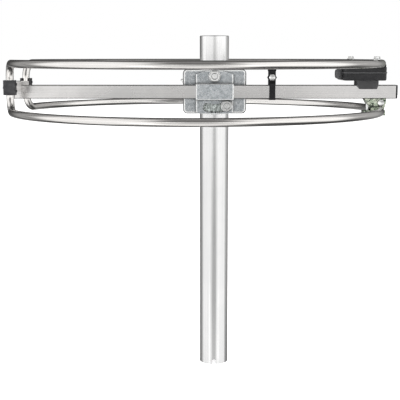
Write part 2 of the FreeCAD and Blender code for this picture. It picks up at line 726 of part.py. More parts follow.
# --- Gap insulators -----------------------------------------------------------------------

def make_spreader():
    """Cross bar on the boom's left end; its arms drop beside the boom to the two tubes."""
    x = ("gap_x - spreader_width / 2", "gap_x + spreader_width / 2")
    reach = "gap_half - tube_radius"
    top = "boom_z + spreader_rise"
    bridge = block("spreader_bridge", x, (f"boom_y - ({reach})", f"boom_y + {reach}"),
                   ("boom_top", top))
    arms = [block("spreader_arm_front", x, (f"boom_y - ({reach})", "boom_front - play"),
                  ("boom_z", top)),
            block("spreader_arm_back", x, ("boom_back + play", f"boom_y + {reach}"),
                  ("boom_z", top))]
    blank = fuse("spreader_blank", bridge, *arms)
    tools = [rod("spreader_screw_hole", "Z", "screw_dia / 2", ("boom_z", f"{top} + 1"),
                 ("gap_x", "boom_y"))]
    for name, sign in (("front", "-"), ("back", "+")):
        tools.append(rod(f"spreader_notch_{name}", "Z", "tube_radius",
                         ("boom_z - 20", f"{top} + 20"), ("gap_x", f"boom_y {sign} gap_half")))
    return piece("spreader_bar", cut("spreader_cut", blank, *tools))


def make_spreader_screw():
    x, y = "gap_x", "boom_y"
    top = "boom_z + spreader_rise"
    shank = rod("spreader_shank", "Z", "screw_dia / 2", ("boom_top - 4", top), (x, y))
    head = rod("spreader_head", "Z", "screw_dia", (top, f"{top} + screw_head"), (x, y))
    slot = block("spreader_drive", (f"{x} - drive_slot / 2", f"{x} + drive_slot / 2"),
                 (f"{y} - 2 * screw_dia", f"{y} + 2 * screw_dia"),
                 (f"{top} + screw_head / 2", f"{top} + 2 * screw_head"))
    return piece("spreader_screw", cut("spreader_screw_cut",
                                       fuse("spreader_screw_blank", shank, head), slot))


def make_gap_block(name, sign):
    """Channel-shaped cap that traps the tube against the spreader's end."""
    x_low, x_high = "gap_x - block_width / 2", "gap_x + block_width / 2"
    z = ("block_z - block_height / 2", "block_z + block_height / 2")
    tube_y = f"(boom_y {sign} gap_half)"
    outer_y = f"({tube_y} {sign} (tube_radius + block_wall))"
    inner_y = f"({outer_y} {'+' if sign == '-' else '-'} block_depth)"
    y = (outer_y, inner_y) if sign == "-" else (inner_y, outer_y)
    shell = block(f"gap_{name}_shell", (x_low, x_high), y, z)
    near_y = f"({inner_y} {'+' if sign == '-' else '-'} 1)"
    channel_y = (tube_y, near_y) if sign == "-" else (near_y, tube_y)
    channel = block(f"gap_{name}_channel", ("gap_x - tube_radius", "gap_x + tube_radius"),
                    channel_y, (f"{z[0]} - 1", f"{z[1]} + 1"))
    seat = rod(f"gap_{name}_seat", "Z", "tube_radius", (f"{z[0]} - 1", f"{z[1]} + 1"),
               ("gap_x", tube_y))
    pin = rod(f"gap_{name}_pin_hole", "X", "screw_dia / 2", (f"{x_low} - 1", f"{x_high} + 1"),
              (tube_y, "block_z"))
    hollow = cut(f"gap_{name}_hollow", shell, channel, seat, pin)
    lugs = [rod(f"gap_{name}_lug_{index}", "X", "lug_dia / 2", (f"{x_high} - 1", f"{x_high} + lug_rise"),
                (tube_y, f"block_z {offset} lug_offset")) for index, offset in enumerate("+-")]
    piece(f"gap_block_{name}", fuse(f"gap_{name}_solid", hollow, *lugs))
    shank = rod(f"gap_{name}_shank", "X", "screw_dia / 2", (x_low, x_high), (tube_y, "block_z"))
    head = rod(f"gap_{name}_head", "X", "gap_head_dia / 2", (f"{x_low} - screw_head", x_low),
               (tube_y, "block_z"))
    piece(f"gap_screw_{name}", fuse(f"gap_{name}_screw_solid", shank, head))


# --- Feed box -----------------------------------------------------------------------------

def make_box_base():
    """Open tray with a gland hole in its left end and a bolt hole in its floor."""
    body = rounded_box("base", ("box_x0", "box_x1"), ("box_front", "box_back"),
                       ("box_z0", "seam_z"), "box_corner")
    hollow = new_sketch(body, "base_hollow", "XY_Plane", "seam_z")
    rectangle(hollow, ("box_x0 + box_wall", "box_x1 - box_wall"),
              ("box_front + box_wall", "box_back - box_wall"))
    pocket(body, hollow, "seam_z - floor_z")
    through = rod("base_through", "Z", "through_dia / 2 + through_play",
                  ("box_z0 - 1", "floor_z + 1"), ("through", "boom_y"))
    return piece("feed_box_base", cut("base_cut", body, through))


def make_box_lid():
    """Cover with two cradles on top, in which the feed tubes lie."""
    body = rounded_box("lid", ("box_x0", "box_x1"), ("box_front", "box_back"),
                       ("seam_z", "box_z1"), "box_corner")
    hollow = new_sketch(body, "lid_hollow", "XY_Plane", "seam_z")
    rectangle(hollow, ("box_x0 + box_wall", "box_x1 - box_wall"),
              ("box_front + box_wall", "box_back - box_wall"))
    pocket(body, hollow, "box_z1 - seam_z - box_wall", back=True)
    groove = shaped("lid_groove", pipe([ring_end_arc(25, value("upper_z"))], value("tube_radius")))
    spans = (("box_front + cradle_inset", "boom_y - feed_gap"),
             ("boom_y + feed_gap", "box_back - cradle_inset"))
    posts = [block(f"lid_cradle_{index}", ("box_x1 - 1 - cradle_length", "box_x1 - 1"), (low, high),
                   ("box_z1 - 1", "upper_z - 1.5"))
             for index, (low, high) in enumerate(spans)]
    solid = cut("lid_grooved", fuse("lid_posts", body, *posts), groove)
    reach = Vector(0, 0, 2 * value("terminal_depth"))
    holes = [Part.makeCylinder(value("terminal_dia / 2 + play"), 2 * reach.z, terminal_spot(side) - reach)
             for side in (-1, 1)]
    holes = [shaped(f"lid_hole_{index}", hole) for index, hole in enumerate(holes)]
    screws = [rod(f"lid_screw_hole_{index}", "Z", "screw_dia / 2", ("seam_z", "box_z1 + 1"), spot)
              for index, spot in enumerate(lid_screw_spots())]
    return piece("feed_box_lid", cut("lid_cut", solid, *holes, *screws))


def lid_screw_spots():
    """Two places on the lid, near the corners at the gland's end."""
    x = "box_x0 + screw_inset"
    return [(x, "box_front + screw_inset"), (x, "box_back - screw_inset")]


def make_lid_screws():
    """Two screws down through the lid into posts that stand in the base."""
    screws = []
    for index, spot in enumerate(lid_screw_spots()):
        shank = rod(f"lid_shank_{index}", "Z", "screw_dia / 2", ("seam_z - 4", "box_z1"), spot)
        head = rod(f"lid_head_{index}", "Z", "screw_dia", ("box_z1", "box_z1 + screw_head"), spot)
        screws.append(fuse(f"lid_screw_{index}", shank, head))
    piece("lid_screws", gather("lid_screw_set", *screws))
    posts = []
    for index, spot in enumerate(lid_screw_spots()):
        post = rod(f"lid_post_{index}", "Z", "post_dia / 2", ("floor_z", "box_z1 - box_wall"), spot)
        bore = rod(f"lid_post_bore_{index}", "Z", "screw_dia / 2", ("seam_z - 4", "box_z1"), spot)
        posts.append(cut(f"lid_sleeve_{index}", post, bore))
    piece("lid_inserts", gather("lid_insert_set", *posts))


def make_box_saddle():
    """Moulded foot between the box and the boom, with tapering cheeks beside the boom."""
    foot = block("saddle_foot", ("ring_x + neck_left", "ring_x + neck_right"),
                 ("boom_front - skirt_thick", "boom_back + skirt_thick"), ("boom_top", "box_z0"))
    solids = [foot]
    for name, low in (("front", "boom_front - skirt_thick"), ("back", "boom_back")):
        cheek = doc.addObject("Part::Wedge", f"saddle_cheek_{name}")
        bind(cheek, Xmin="0", Xmax="neck_right - neck_left", X2min="neck_taper",
             X2max="neck_right - neck_left - neck_taper / 2", Ymin="0",
             Ymax="boom_half - neck_drop", Zmin="0", Zmax="skirt_thick",
             Z2min="0", Z2max="skirt_thick")
        cheek.Placement = FreeCAD.Placement(Vector(), FreeCAD.Rotation(Vector(1, 0, 0), -90))
        place(cheek, "ring_x + neck_left", low, "boom_top")
        solids.append(cheek)
    through = rod("saddle_through", "Z", "through_dia / 2 + through_play",
                  ("boom_top - 1", "box_z0 + 1"), ("through", "boom_y"))
    return piece("box_saddle", cut("box_saddle_cut", fuse("box_saddle_blank", *solids), through))


def make_gland():
    """Ribbed gland nut on a hollow stem that is fixed in the left wall of the box."""
    y, z = "boom_y - gland_offset", "(box_z0 + box_z1) / 2"
    reach = ("box_x0 - 3 * gland_length", "box_x0 + 3 * gland_length")
    cable = rod("gland_cable_way", "X", "cable_dia / 2", reach, (y, z))
    stem = rod("gland_tube", "X", "gland_neck / 2",
               ("box_x0 - gland_length + 1", "box_x0 + gland_stem_depth"), (y, z))
    flange = rod("gland_flange", "X", "gland_dia / 2", ("box_x0 + box_wall", "box_x0 + 4"), (y, z))
    piece("gland_stem", cut("gland_stem_cut", fuse("gland_stem_blank", stem, flange), cable))
    nut = rod("gland_body", "X", "gland_dia / 2", ("box_x0 - gland_length", "box_x0 - play"), (y, z))
    bore = rod("gland_bore", "X", "gland_neck / 2 + fit",
               ("box_x0 - gland_length + gland_lip", "box_x0 + 1"), (y, z))
    mouth = rod("gland_mouth", "X", "cable_dia / 2", ("box_x0 - 2 * gland_length", "box_x0"), (y, z))
    radius = value("gland_dia / 2")
    centre = Vector(value("box_x0 - gland_length - 1"), value(y), value(z))
    flutes = []
    for step in range(12):
        swing = math.radians(30 * step)
        spot = centre + Vector(0, radius * math.cos(swing), radius * math.sin(swing))
        flute = Part.makeCylinder(value("flute_dia / 2"), value("gland_length - 1"), spot, Vector(1, 0, 0))
        flutes.append(shaped(f"gland_flute_{step}", flute))
    piece("gland_nut", cut("gland_nut_cut", nut, bore, mouth, *flutes))
    return y, z


def cut_gland_hole(label, y, z):
    """Open a wall of the box for the gland stem, once the wall's piece exists."""
    span = ("box_x0 - 1", "box_x0 + box_wall")
    hole = rod(f"{label}_gland_hole", "X", "gland_neck / 2", span, (y, z))
    wall = pieces.pop(label)
    wall.Label = f"{label} without gland hole"
    piece(label, cut(f"{label}_open", wall, hole))


def make_electronics():
    """Matching board on the box floor, its two-hole ferrite core and the two terminal lugs."""
    board_z = "floor_z + board_lift"
    core_z = f"{board_z} + board_thick"
    board = block("board_blank", ("box_x0 + board_left", "through - board_right"),
                  ("boom_y - board_half", "boom_y + board_half"), (board_z, core_z))
    piece("balun_board", board)
    core_x = "box_x0 + core_left"
    core = block("core_blank", (core_x, f"{core_x} + core_length"),
                 ("boom_y - core_half", "boom_y + core_half"), (core_z, f"{core_z} + core_height"))
    span = (f"{core_x} - 1", f"{core_x} + core_length + 1")
    holes = [rod(f"core_hole_{index}", "X", "core_hole_dia / 2", span,
                 (f"boom_y {offset} core_pitch / 2", f"{core_z} + core_height / 2"))
             for index, offset in enumerate("+-")]
    piece("balun_core", cut("core_cut", core, *holes))
    lid_under = value("box_z1 - box_wall")
    radius, thick, width = value("terminal_dia / 2"), value("lug_thick"), value("lug_width")
    for name, side in (("front", -1), ("back", 1)):
        spot = terminal_spot(side)
        axis = Vector(spot.x, spot.y, lid_under - thick)
        corner = axis - Vector(value("lug_length - terminal_head_dia / 2"), width / 2, 0)
        lug = Part.makeBox(value("lug_length"), width, thick, corner)
        lug = lug.cut(Part.makeCylinder(radius, 3 * thick, axis - Vector(0, 0, thick)))
        piece(f"terminal_lug_{name}", shaped(f"lug_{name}", lug))
        shank = Part.makeCylinder(radius, spot.z - axis.z, axis)
        head = Part.makeCylinder(value("terminal_head_dia / 2"), value("screw_head"),
                                 axis - Vector(0, 0, value("screw_head")))
        piece(f"terminal_screw_{name}", shaped(f"terminal_{name}", shank.fuse(head)))


# --- Lower ring clamp ---------------------------------------------------------------------

def make_ring_saddle():
    """Cast block under the boom, tapering down to a groove for the lower tube."""
    y = ("boom_y - saddle_depth / 2", "boom_y + saddle_depth / 2")
    left, right = value("ring_x + saddle_left"), value("ring_x + saddle_right")
    top, low, front = value("boom_under"), value("lower_z"), value(y[0])
    shoulder, toe = value("2 * play + 1"), value("saddle_taper")
    outline = [(left, top), (right, top), (right, top - 4 * shoulder), (right - 2 * shoulder, low),
               (left + toe, low), (left, top - shoulder), (left, top)]
    corners = [Vector(x, front, z) for x, z in outline]
    cast = Part.Face(Part.makePolygon(corners)).extrude(Vector(0, value("saddle_depth"), 0))
    groove_path = [ring_end_arc(10, low)]
    cast = cast.cut(pipe(groove_path, value("tube_radius")))
    hole = rod("ring_saddle_hole", "Z", "through_dia / 2 + through_play",
               ("lower_z - 1", "boom_under + 1"), ("through", "boom_y"))
    pinch_hole = rod("pinch_hole", "Y", "pinch_dia / 2", (f"{y[0]} - 1", f"{y[1]} + 1"), pinch_spot())
    piece("ring_saddle", cut("ring_saddle_cut", shaped("ring_saddle_cast", cast), hole, pinch_hole))
    strap = block("strap_blank", ("through - strap_left", "ring_x + ring_radius + strap_right"), y,
                  ("lower_z - tube_radius - strap_thick", "lower_z - 0.5"))
    relief = block("strap_relief", ("through - 2 * strap_left", "ring_x + ring_radius - tube_radius - 2"),
                   (f"{y[0]} - 1", f"{y[1]} + 1"),
                   ("lower_z - tube_radius - strap_thick - 1", "lower_z - strap_thick - 2"))
    groove = shaped("strap_groove", pipe(groove_path, value("tube_radius")))
    bolt_way = rod("strap_hole", "Z", "through_dia / 2 + through_play",
                   ("lower_z - 20", "lower_z + 1"), ("through", "boom_y"))
    piece("ring_strap", cut("strap_cut", strap, relief, groove, bolt_way))


def pinch_spot():
    return ("ring_x + pinch_x", "boom_z - pinch_drop")


def make_pinch_bolt():
    """Small hex bolt across the cast block above the lower tube, with its nut at the back."""
    front, back = "boom_y - saddle_depth / 2", "boom_y + saddle_depth / 2"
    spot = pinch_spot()
    shank = rod("pinch_shank", "Y", "pinch_dia / 2", (front, f"{back} + pinch_nut + 1"), spot)
    head = hexagon("pinch_hex", "Y", "pinch_flats", (f"{front} - pinch_head", front), spot)
    piece("pinch_bolt", fuse("pinch_bolt_solid", shank, head))
    nut = hexagon("pinch_nut_hex", "Y", "pinch_flats", (back, f"{back} + pinch_nut"), spot)
    thread = rod("pinch_thread", "Y", "pinch_dia / 2", (f"{back} - 1", f"{back} + 2 * pinch_nut"), spot)
    piece("pinch_nut", cut("pinch_nut_cut", nut, thread))


def make_through_bolt():
    """Long hex bolt that holds strap, saddle, boom and box together, with its nut in the box."""
    under = "lower_z - strap_thick - 2"
    spot = ("through", "boom_y")
    seat = "floor_z + through_washer_thick"
    shank = rod("through_shank", "Z", "through_dia / 2", (under, "floor_z + through_end"), spot)
    head = hexagon("through_hex", "Z", "through_flats", (f"{under} - through_head", under), spot)
    piece("through_bolt", fuse("through_solid", shank, head))
    nut = hexagon("through_nut_hex", "Z", "through_flats", (seat, f"{seat} + through_nut_thick"), spot)
    thread = rod("through_thread", "Z", "through_dia / 2", ("floor_z", "floor_z + 2 * through_nut_thick"),
                 spot)
    piece("through_nut", cut("through_nut_cut", nut, thread))
    disc = rod("through_disc", "Z", "through_washer_dia / 2", ("floor_z", seat), spot)
    eye = rod("through_eye", "Z", "through_dia / 2", ("floor_z - 1", f"{seat} + 1"), spot)
    piece("through_washer", cut("through_washer_cut", disc, eye))


# --- Cable clip on the boom ---------------------------------------------------------------

def make_cable_clip():
    """Moulded band round the boom, with an upright tab and an open hook for the cable."""
    def span(width):
        return (f"clip_place - ({width}) / 2", f"clip_place + ({width}) / 2")
    inside_y = ("boom_front - play", "boom_back + play")
    inside_z = ("boom_under - play", "boom_top + play")
    band = block("clip_band_blank", span("clip_band"),
                 (f"{inside_y[0]} - clip_thick", f"{inside_y[1]} + clip_thick"),
                 (f"{inside_z[0]} - clip_thick", f"{inside_z[1]} + clip_thick"))
    way = block("clip_boom_way", span("2 * clip_band"), inside_y, inside_z)
    loop = cut("clip_loop", band, way)
    front, back = "boom_y - clip_depth / 2", "boom_y + clip_depth / 2"
    hook_z = "boom_z + cable_rise"
    spot = ("clip_place", "boom_z + clip_bolt_rise")
    tab = block("clip_tab", span("clip_width - 1"), (front, back),
                (inside_z[1], f"{hook_z} - cable_dia / 2"))
    boss_front = f"{front} - clip_boss"
    boss = hexagon("clip_boss_hex", "Y", "clip_width", (boss_front, back), spot)
    hook = rod("clip_hook", "X", "cable_dia / 2 + clip_thick", span("clip_width"), ("boom_y", hook_z))
    solid = fuse("clip_blank", loop, tab, boss, hook)
    cable = rod("clip_cable_way", "X", "cable_dia / 2", span("3 * clip_width"), ("boom_y", hook_z))
    mouth = block("clip_mouth", span("3 * clip_width"), ("boom_y", "boom_y + 2 * clip_depth"),
                  (f"{hook_z} - 1", f"{hook_z} + cable_dia / 2 - 1"))
    bolt_way = rod("clip_bolt_way", "Y", "clip_bolt_dia / 2",
                   ("boom_y - 2 * clip_depth", "boom_y + 2 * clip_depth"), spot)
    piece("cable_clip", cut("clip_cut", solid, cable, mouth, bolt_way))
    shank = rod("clip_shank", "Y", "clip_bolt_dia / 2", (boss_front, f"{back} + clip_bolt_end"), spot)
    head = hexagon("clip_head_hex", "Y", "clip_flats", (f"{boss_front} - clip_head", boss_front), spot)
    piece("clip_bolt", fuse("clip_bolt_solid", shank, head))
    nut = hexagon("clip_nut_hex", "Y", "clip_flats", (back, f"{back} + clip_nut_thick"), spot)
    thread = rod("clip_thread", "Y", "clip_bolt_dia / 2", (f"{back} - 1", f"{back} + 2 * clip_nut_thick"),
                 spot)
    piece("clip_nut", cut("clip_nut_cut", nut, thread))


# --- Build --------------------------------------------------------------------------------

def build():
    make_mast()
    make_clamp_plate()
    make_clamp_studs()
    make_bolt_set("pivot", "0", "pivot_z")
    make_bolt_set("lock", "lock_x", "lock_z")
    make_jaw()
    make_wing_nut("left", "-", 133)
    make_wing_nut("right", "", 80)
    make_bracket()
    make_boom()
    make_boom_ends()
    for name, side in (("front", -1), ("back", 1)):
        make_dipole_half(name, side)
        make_feed_tube(name, side)
        make_tube_insert(name, side)
        make_splice_bolt(name, side)
    make_lower_joint()
    make_spreader()
    make_spreader_screw()
    make_gap_block("front", "-")
    make_gap_block("back", "+")
    make_box_base()
    make_box_lid()
    make_lid_screws()
    make_box_saddle()
    gland_y, gland_z = make_gland()
    for label in ("feed_box_base", "feed_box_lid"):
        cut_gland_hole(label, gland_y, gland_z)
    make_electronics()
    make_ring_saddle()
    make_pinch_bolt()
    make_through_bolt()
    make_cable_clip()


def check():
    """Stop before writing if any object failed or any piece is empty or invalid."""
    for obj in doc.Objects:
        if "Invalid" in obj.State or "Error" in obj.State:
            raise RuntimeError(f"{obj.Name} failed: {obj.State}")
    for label, obj in pieces.items():
        if obj.Shape.isNull() or not obj.Shape.isValid() or not obj.Shape.Solids:
            raise RuntimeError(f"{label} has no valid solid")


build()
doc.recompute()
check()
os.makedirs("parts", exist_ok=True)
for label, obj in pieces.items():
    obj.Shape.exportStep(f"parts/{label}.step")
    print(label, len(obj.Shape.Solids), round(obj.Shape.Volume, 1))
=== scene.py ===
import json
import math

import bmesh
import bpy
from mathutils import Matrix, Vector


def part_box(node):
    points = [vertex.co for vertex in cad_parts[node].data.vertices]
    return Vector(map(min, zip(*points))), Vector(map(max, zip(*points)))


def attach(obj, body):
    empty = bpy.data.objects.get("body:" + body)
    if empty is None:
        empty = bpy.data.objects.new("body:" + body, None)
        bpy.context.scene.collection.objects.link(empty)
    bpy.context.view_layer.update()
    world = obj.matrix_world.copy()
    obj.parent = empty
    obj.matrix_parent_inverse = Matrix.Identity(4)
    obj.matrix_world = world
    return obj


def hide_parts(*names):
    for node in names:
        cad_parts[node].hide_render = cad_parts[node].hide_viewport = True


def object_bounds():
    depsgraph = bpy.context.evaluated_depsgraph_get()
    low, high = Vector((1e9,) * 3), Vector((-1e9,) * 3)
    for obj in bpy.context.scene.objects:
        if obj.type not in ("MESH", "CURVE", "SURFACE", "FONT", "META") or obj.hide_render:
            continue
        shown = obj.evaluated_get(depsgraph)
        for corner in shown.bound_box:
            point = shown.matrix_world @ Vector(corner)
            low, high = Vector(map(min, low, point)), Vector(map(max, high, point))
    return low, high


# Looks of a ring-shaped folded dipole on a short mast. Metres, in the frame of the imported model:
# +Z up the mast, -Y the front, +X along the boom to the feed box.

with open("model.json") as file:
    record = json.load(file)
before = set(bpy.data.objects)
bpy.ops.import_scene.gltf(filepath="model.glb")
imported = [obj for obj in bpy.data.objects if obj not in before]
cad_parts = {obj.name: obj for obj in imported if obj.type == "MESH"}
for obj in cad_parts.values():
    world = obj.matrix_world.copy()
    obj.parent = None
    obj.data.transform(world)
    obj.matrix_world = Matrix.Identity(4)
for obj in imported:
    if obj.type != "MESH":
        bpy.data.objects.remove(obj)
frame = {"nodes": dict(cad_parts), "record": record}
cad_low, cad_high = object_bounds()
nodes = frame["nodes"]
node_body = {n: body for body, names in frame["record"]["behaviour"]["bodies"].items() for n in names}
node_slot = {part["node"]: part["material_slot"] for part in frame["record"]["subparts"]}

MM = 0.001
UP = Vector((0, 0, 1))
FRONT = Vector((0, -1, 0))
BACK = Vector((0, 1, 0))
LEFT = Vector((-1, 0, 0))


# --- Camera, studio -----------------------------------------------------------------------

FOCAL = 82.9             # millimetres, on a sensor 36 mm wide
CAMERA_DISTANCE = 1.25   # in front of the ring's centre
CAMERA_RISE = 0.0105     # above the axis of the upper tube
CAMERA_SIDE = 0.0052     # to the right of the ring's centre
CAMERA_PITCH = 8.93      # degrees downwards


def ring_sizes():
    """Centre, radius, heights and tube radius of the double ring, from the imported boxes."""
    feed_low, feed_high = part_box("feed_tube_front")
    tube = (feed_high.z - feed_low.z) / 2
    low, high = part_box("dipole_tube_front")
    boom_low, boom_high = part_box("boom_tube")
    y = (boom_low.y + boom_high.y) / 2
    radius = y - low.y - tube
    return {"x": high.x - radius - tube, "y": y, "radius": radius, "tube": tube,
            "upper": high.z - tube, "lower": low.z + tube}


RING = ring_sizes()


def make_camera():
    data = bpy.data.cameras.new("camera")
    data.lens = FOCAL
    data.sensor_width = 36
    data.clip_start = 0.05
    camera = bpy.data.objects.new("camera", data)
    bpy.context.scene.collection.objects.link(camera)
    camera.location = (RING["x"] + CAMERA_SIDE, RING["y"] - CAMERA_DISTANCE,
                       RING["upper"] + CAMERA_RISE)
    camera.rotation_euler = (math.radians(90 - CAMERA_PITCH), 0, 0)
    bpy.context.scene.camera = camera


def area_light(name, place, aim, size, power):
    data = bpy.data.lights.new(name, "AREA")
    data.shape = "SQUARE"
    data.size = size
    data.energy = power
    light = bpy.data.objects.new(name, data)
    bpy.context.scene.collection.objects.link(light)
    light.location = place
    light.rotation_euler = (Vector(aim) - Vector(place)).to_track_quat("-Z", "Y").to_euler()
    light.visible_glossy = False
    light.visible_camera = False


LAMPS = {                    # place, aim, size in metres, power in watts
    "key": ((-0.75, -1.15, 1.9), (0, 0, 0.38), 0.55, 30),
    "overhead": ((0.3, 0.2, 2.4), (0, 0, 0.2), 2.0, 24),
    "right": ((1.7, -1.4, 1.1), (0, 0, 0.35), 1.2, 9),
    "behind": ((-0.5, 2.0, 1.2), (0, 0, 0.35), 1.2, 16),
}

# Soft boxes and cards of the studio, seen in the metal: azimuth from the front towards +X and
# elevation, their half widths in degrees, the softness of their edge, and brightness added.
STUDIO_BASE = 0.06
STUDIO_PANELS = [
    ("left_box", -68, 0, 40, 62, 12, 1.04),
    ("right_box", 66, 14, 38, 46, 12, 1.10),
    ("front_low", 0, -56, 40, 40, 10, 0.86),
    ("front_middle", 0, 0, 24, 7, 6, 0.67),
    ("belt", 0, 3, 120, 5, 3, 0.22),
    ("left_wing", -20, -3, 12, 8, 3, 0.52),
    ("right_wing", 23, -3, 11, 8, 3, 0.52),
    ("front_high", 0, 45, 28, 46, 12, 0.13),
    ("ceiling", 0, 82, 180, 18, 10, 0.12),
    ("table", 0, -88, 180, 26, 14, 0.14),
    ("rear_left", -128, 12, 10, 42, 12, 0.36),
    ("rear_right", 128, 16, 20, 36, 14, 0.40),
    ("back_left", -180, -20, 26, 14, 6, 0.32),
    ("back_right", 180, -20, 26, 14, 6, 0.32),
]


class Graph:
    """Shorthand for making and linking shader nodes."""

    def __init__(self, tree):
        self.tree = tree

    def node(self, kind, **settings):
        made = self.tree.nodes.new(kind)
        for key, setting in settings.items():
            setattr(made, key, setting)
        return made

    def link(self, start, end):
        self.tree.links.new(start, end)

    def maths(self, operation, *terms):
        made = self.node("ShaderNodeMath", operation=operation)
        for socket, term in zip(made.inputs, terms):
            if isinstance(term, (int, float)):
                socket.default_value = term
            else:
                self.link(term, socket)
        return made.outputs[0]

    def axes(self, vector):
        """X, Y and Z of a vector, by name."""
        split = self.node("ShaderNodeSeparateXYZ")
        self.link(vector, split.inputs[0])
        return split.outputs


def make_studio():
    """A procedural room: metal sees soft boxes and dark gaps, and the camera sees plain white."""
    world = bpy.data.worlds.new("studio")
    bpy.context.scene.world = world
    world.use_nodes = True
    world.node_tree.nodes.clear()
    graph = Graph(world.node_tree)
    maths = graph.maths

    def edge(distance, half, soft):
        """1 inside a panel's half width, falling smoothly to 0 across its soft edge."""
        made = graph.node("ShaderNodeMapRange", interpolation_type="SMOOTHSTEP")
        graph.link(distance, made.inputs["Value"])
        made.inputs["From Min"].default_value = half + soft
        made.inputs["From Max"].default_value = half - soft
        return made.outputs["Result"]

    direction = graph.axes(graph.node("ShaderNodeTexCoord").outputs["Generated"])
    to_degrees = 180 / math.pi
    towards_front = maths("MULTIPLY", direction["Y"], -1.0)
    azimuth = maths("MULTIPLY", maths("ARCTAN2", direction["X"], towards_front), to_degrees)
    elevation = maths("MULTIPLY", maths("ARCSINE", direction["Z"]), to_degrees)
    total = STUDIO_BASE
    for _, side, height, half_wide, half_high, soft, bright in STUDIO_PANELS:
        across = maths("ABSOLUTE", maths("SUBTRACT", azimuth, float(side)))
        rise = maths("ABSOLUTE", maths("SUBTRACT", elevation, float(height)))
        panel = maths("MULTIPLY", edge(across, half_wide, soft), edge(rise, half_high, soft))
        total = maths("ADD", maths("MULTIPLY", panel, bright), total)
    room = graph.node("ShaderNodeBackground")
    room.inputs["Color"].default_value = (1.0, 0.995, 0.985, 1)
    graph.link(total, room.inputs["Strength"])
    white = graph.node("ShaderNodeBackground")
    white.inputs["Strength"].default_value = 1.0
    white.inputs["Color"].default_value = (1, 1, 1, 1)
    mix = graph.node("ShaderNodeMixShader")
    graph.link(graph.node("ShaderNodeLightPath").outputs["Is Camera Ray"], mix.inputs[0])
    graph.link(room.outputs[0], mix.inputs[1])
    graph.link(white.outputs[0], mix.inputs[2])
    graph.link(mix.outputs[0], graph.node("ShaderNodeOutputWorld").inputs["Surface"])


FLOOR_REACH = 9.0        # metres each way
FLOOR_GAP = 0.4 * MM     # under the mast's foot
FLOOR_GLOW = 0.95        # keeps the pale floor from greying where the lamps fall off


def make_floor():
    """Pale floor under the mast's foot; polished metal sees the studio's table instead of it."""
    mesh = bpy.data.meshes.new("floor")
    corners = [(-FLOOR_REACH, -FLOOR_REACH, 0), (FLOOR_REACH, -FLOOR_REACH, 0),
               (FLOOR_REACH, FLOOR_REACH, 0), (-FLOOR_REACH, FLOOR_REACH, 0)]
    mesh.from_pydata(corners, [], [(0, 1, 2, 3)])
    floor = bpy.data.objects.new("floor", mesh)
    bpy.context.scene.collection.objects.link(floor)
    paint = Finish("floor_paint", (0.86, 0.86, 0.86), 0.9, metallic=0.0, specular=0.1)
    clouds = paint.noise(paint.coords(), 3.0)
    paint.cover(paint.blend(clouds, (0.85, 0.85, 0.85), (0.87, 0.87, 0.87)))
    paint.shader.inputs["Emission Color"].default_value = (1, 1, 1, 1)
    paint.shader.inputs["Emission Strength"].default_value = FLOOR_GLOW
    mesh.materials.append(paint.material)
    floor.location.z = cad_low.z - FLOOR_GAP
    floor.visible_glossy = False


def middle(node):
    low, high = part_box(node)
    return (low + high) / 2


# --- Materials ----------------------------------------------------------------------------

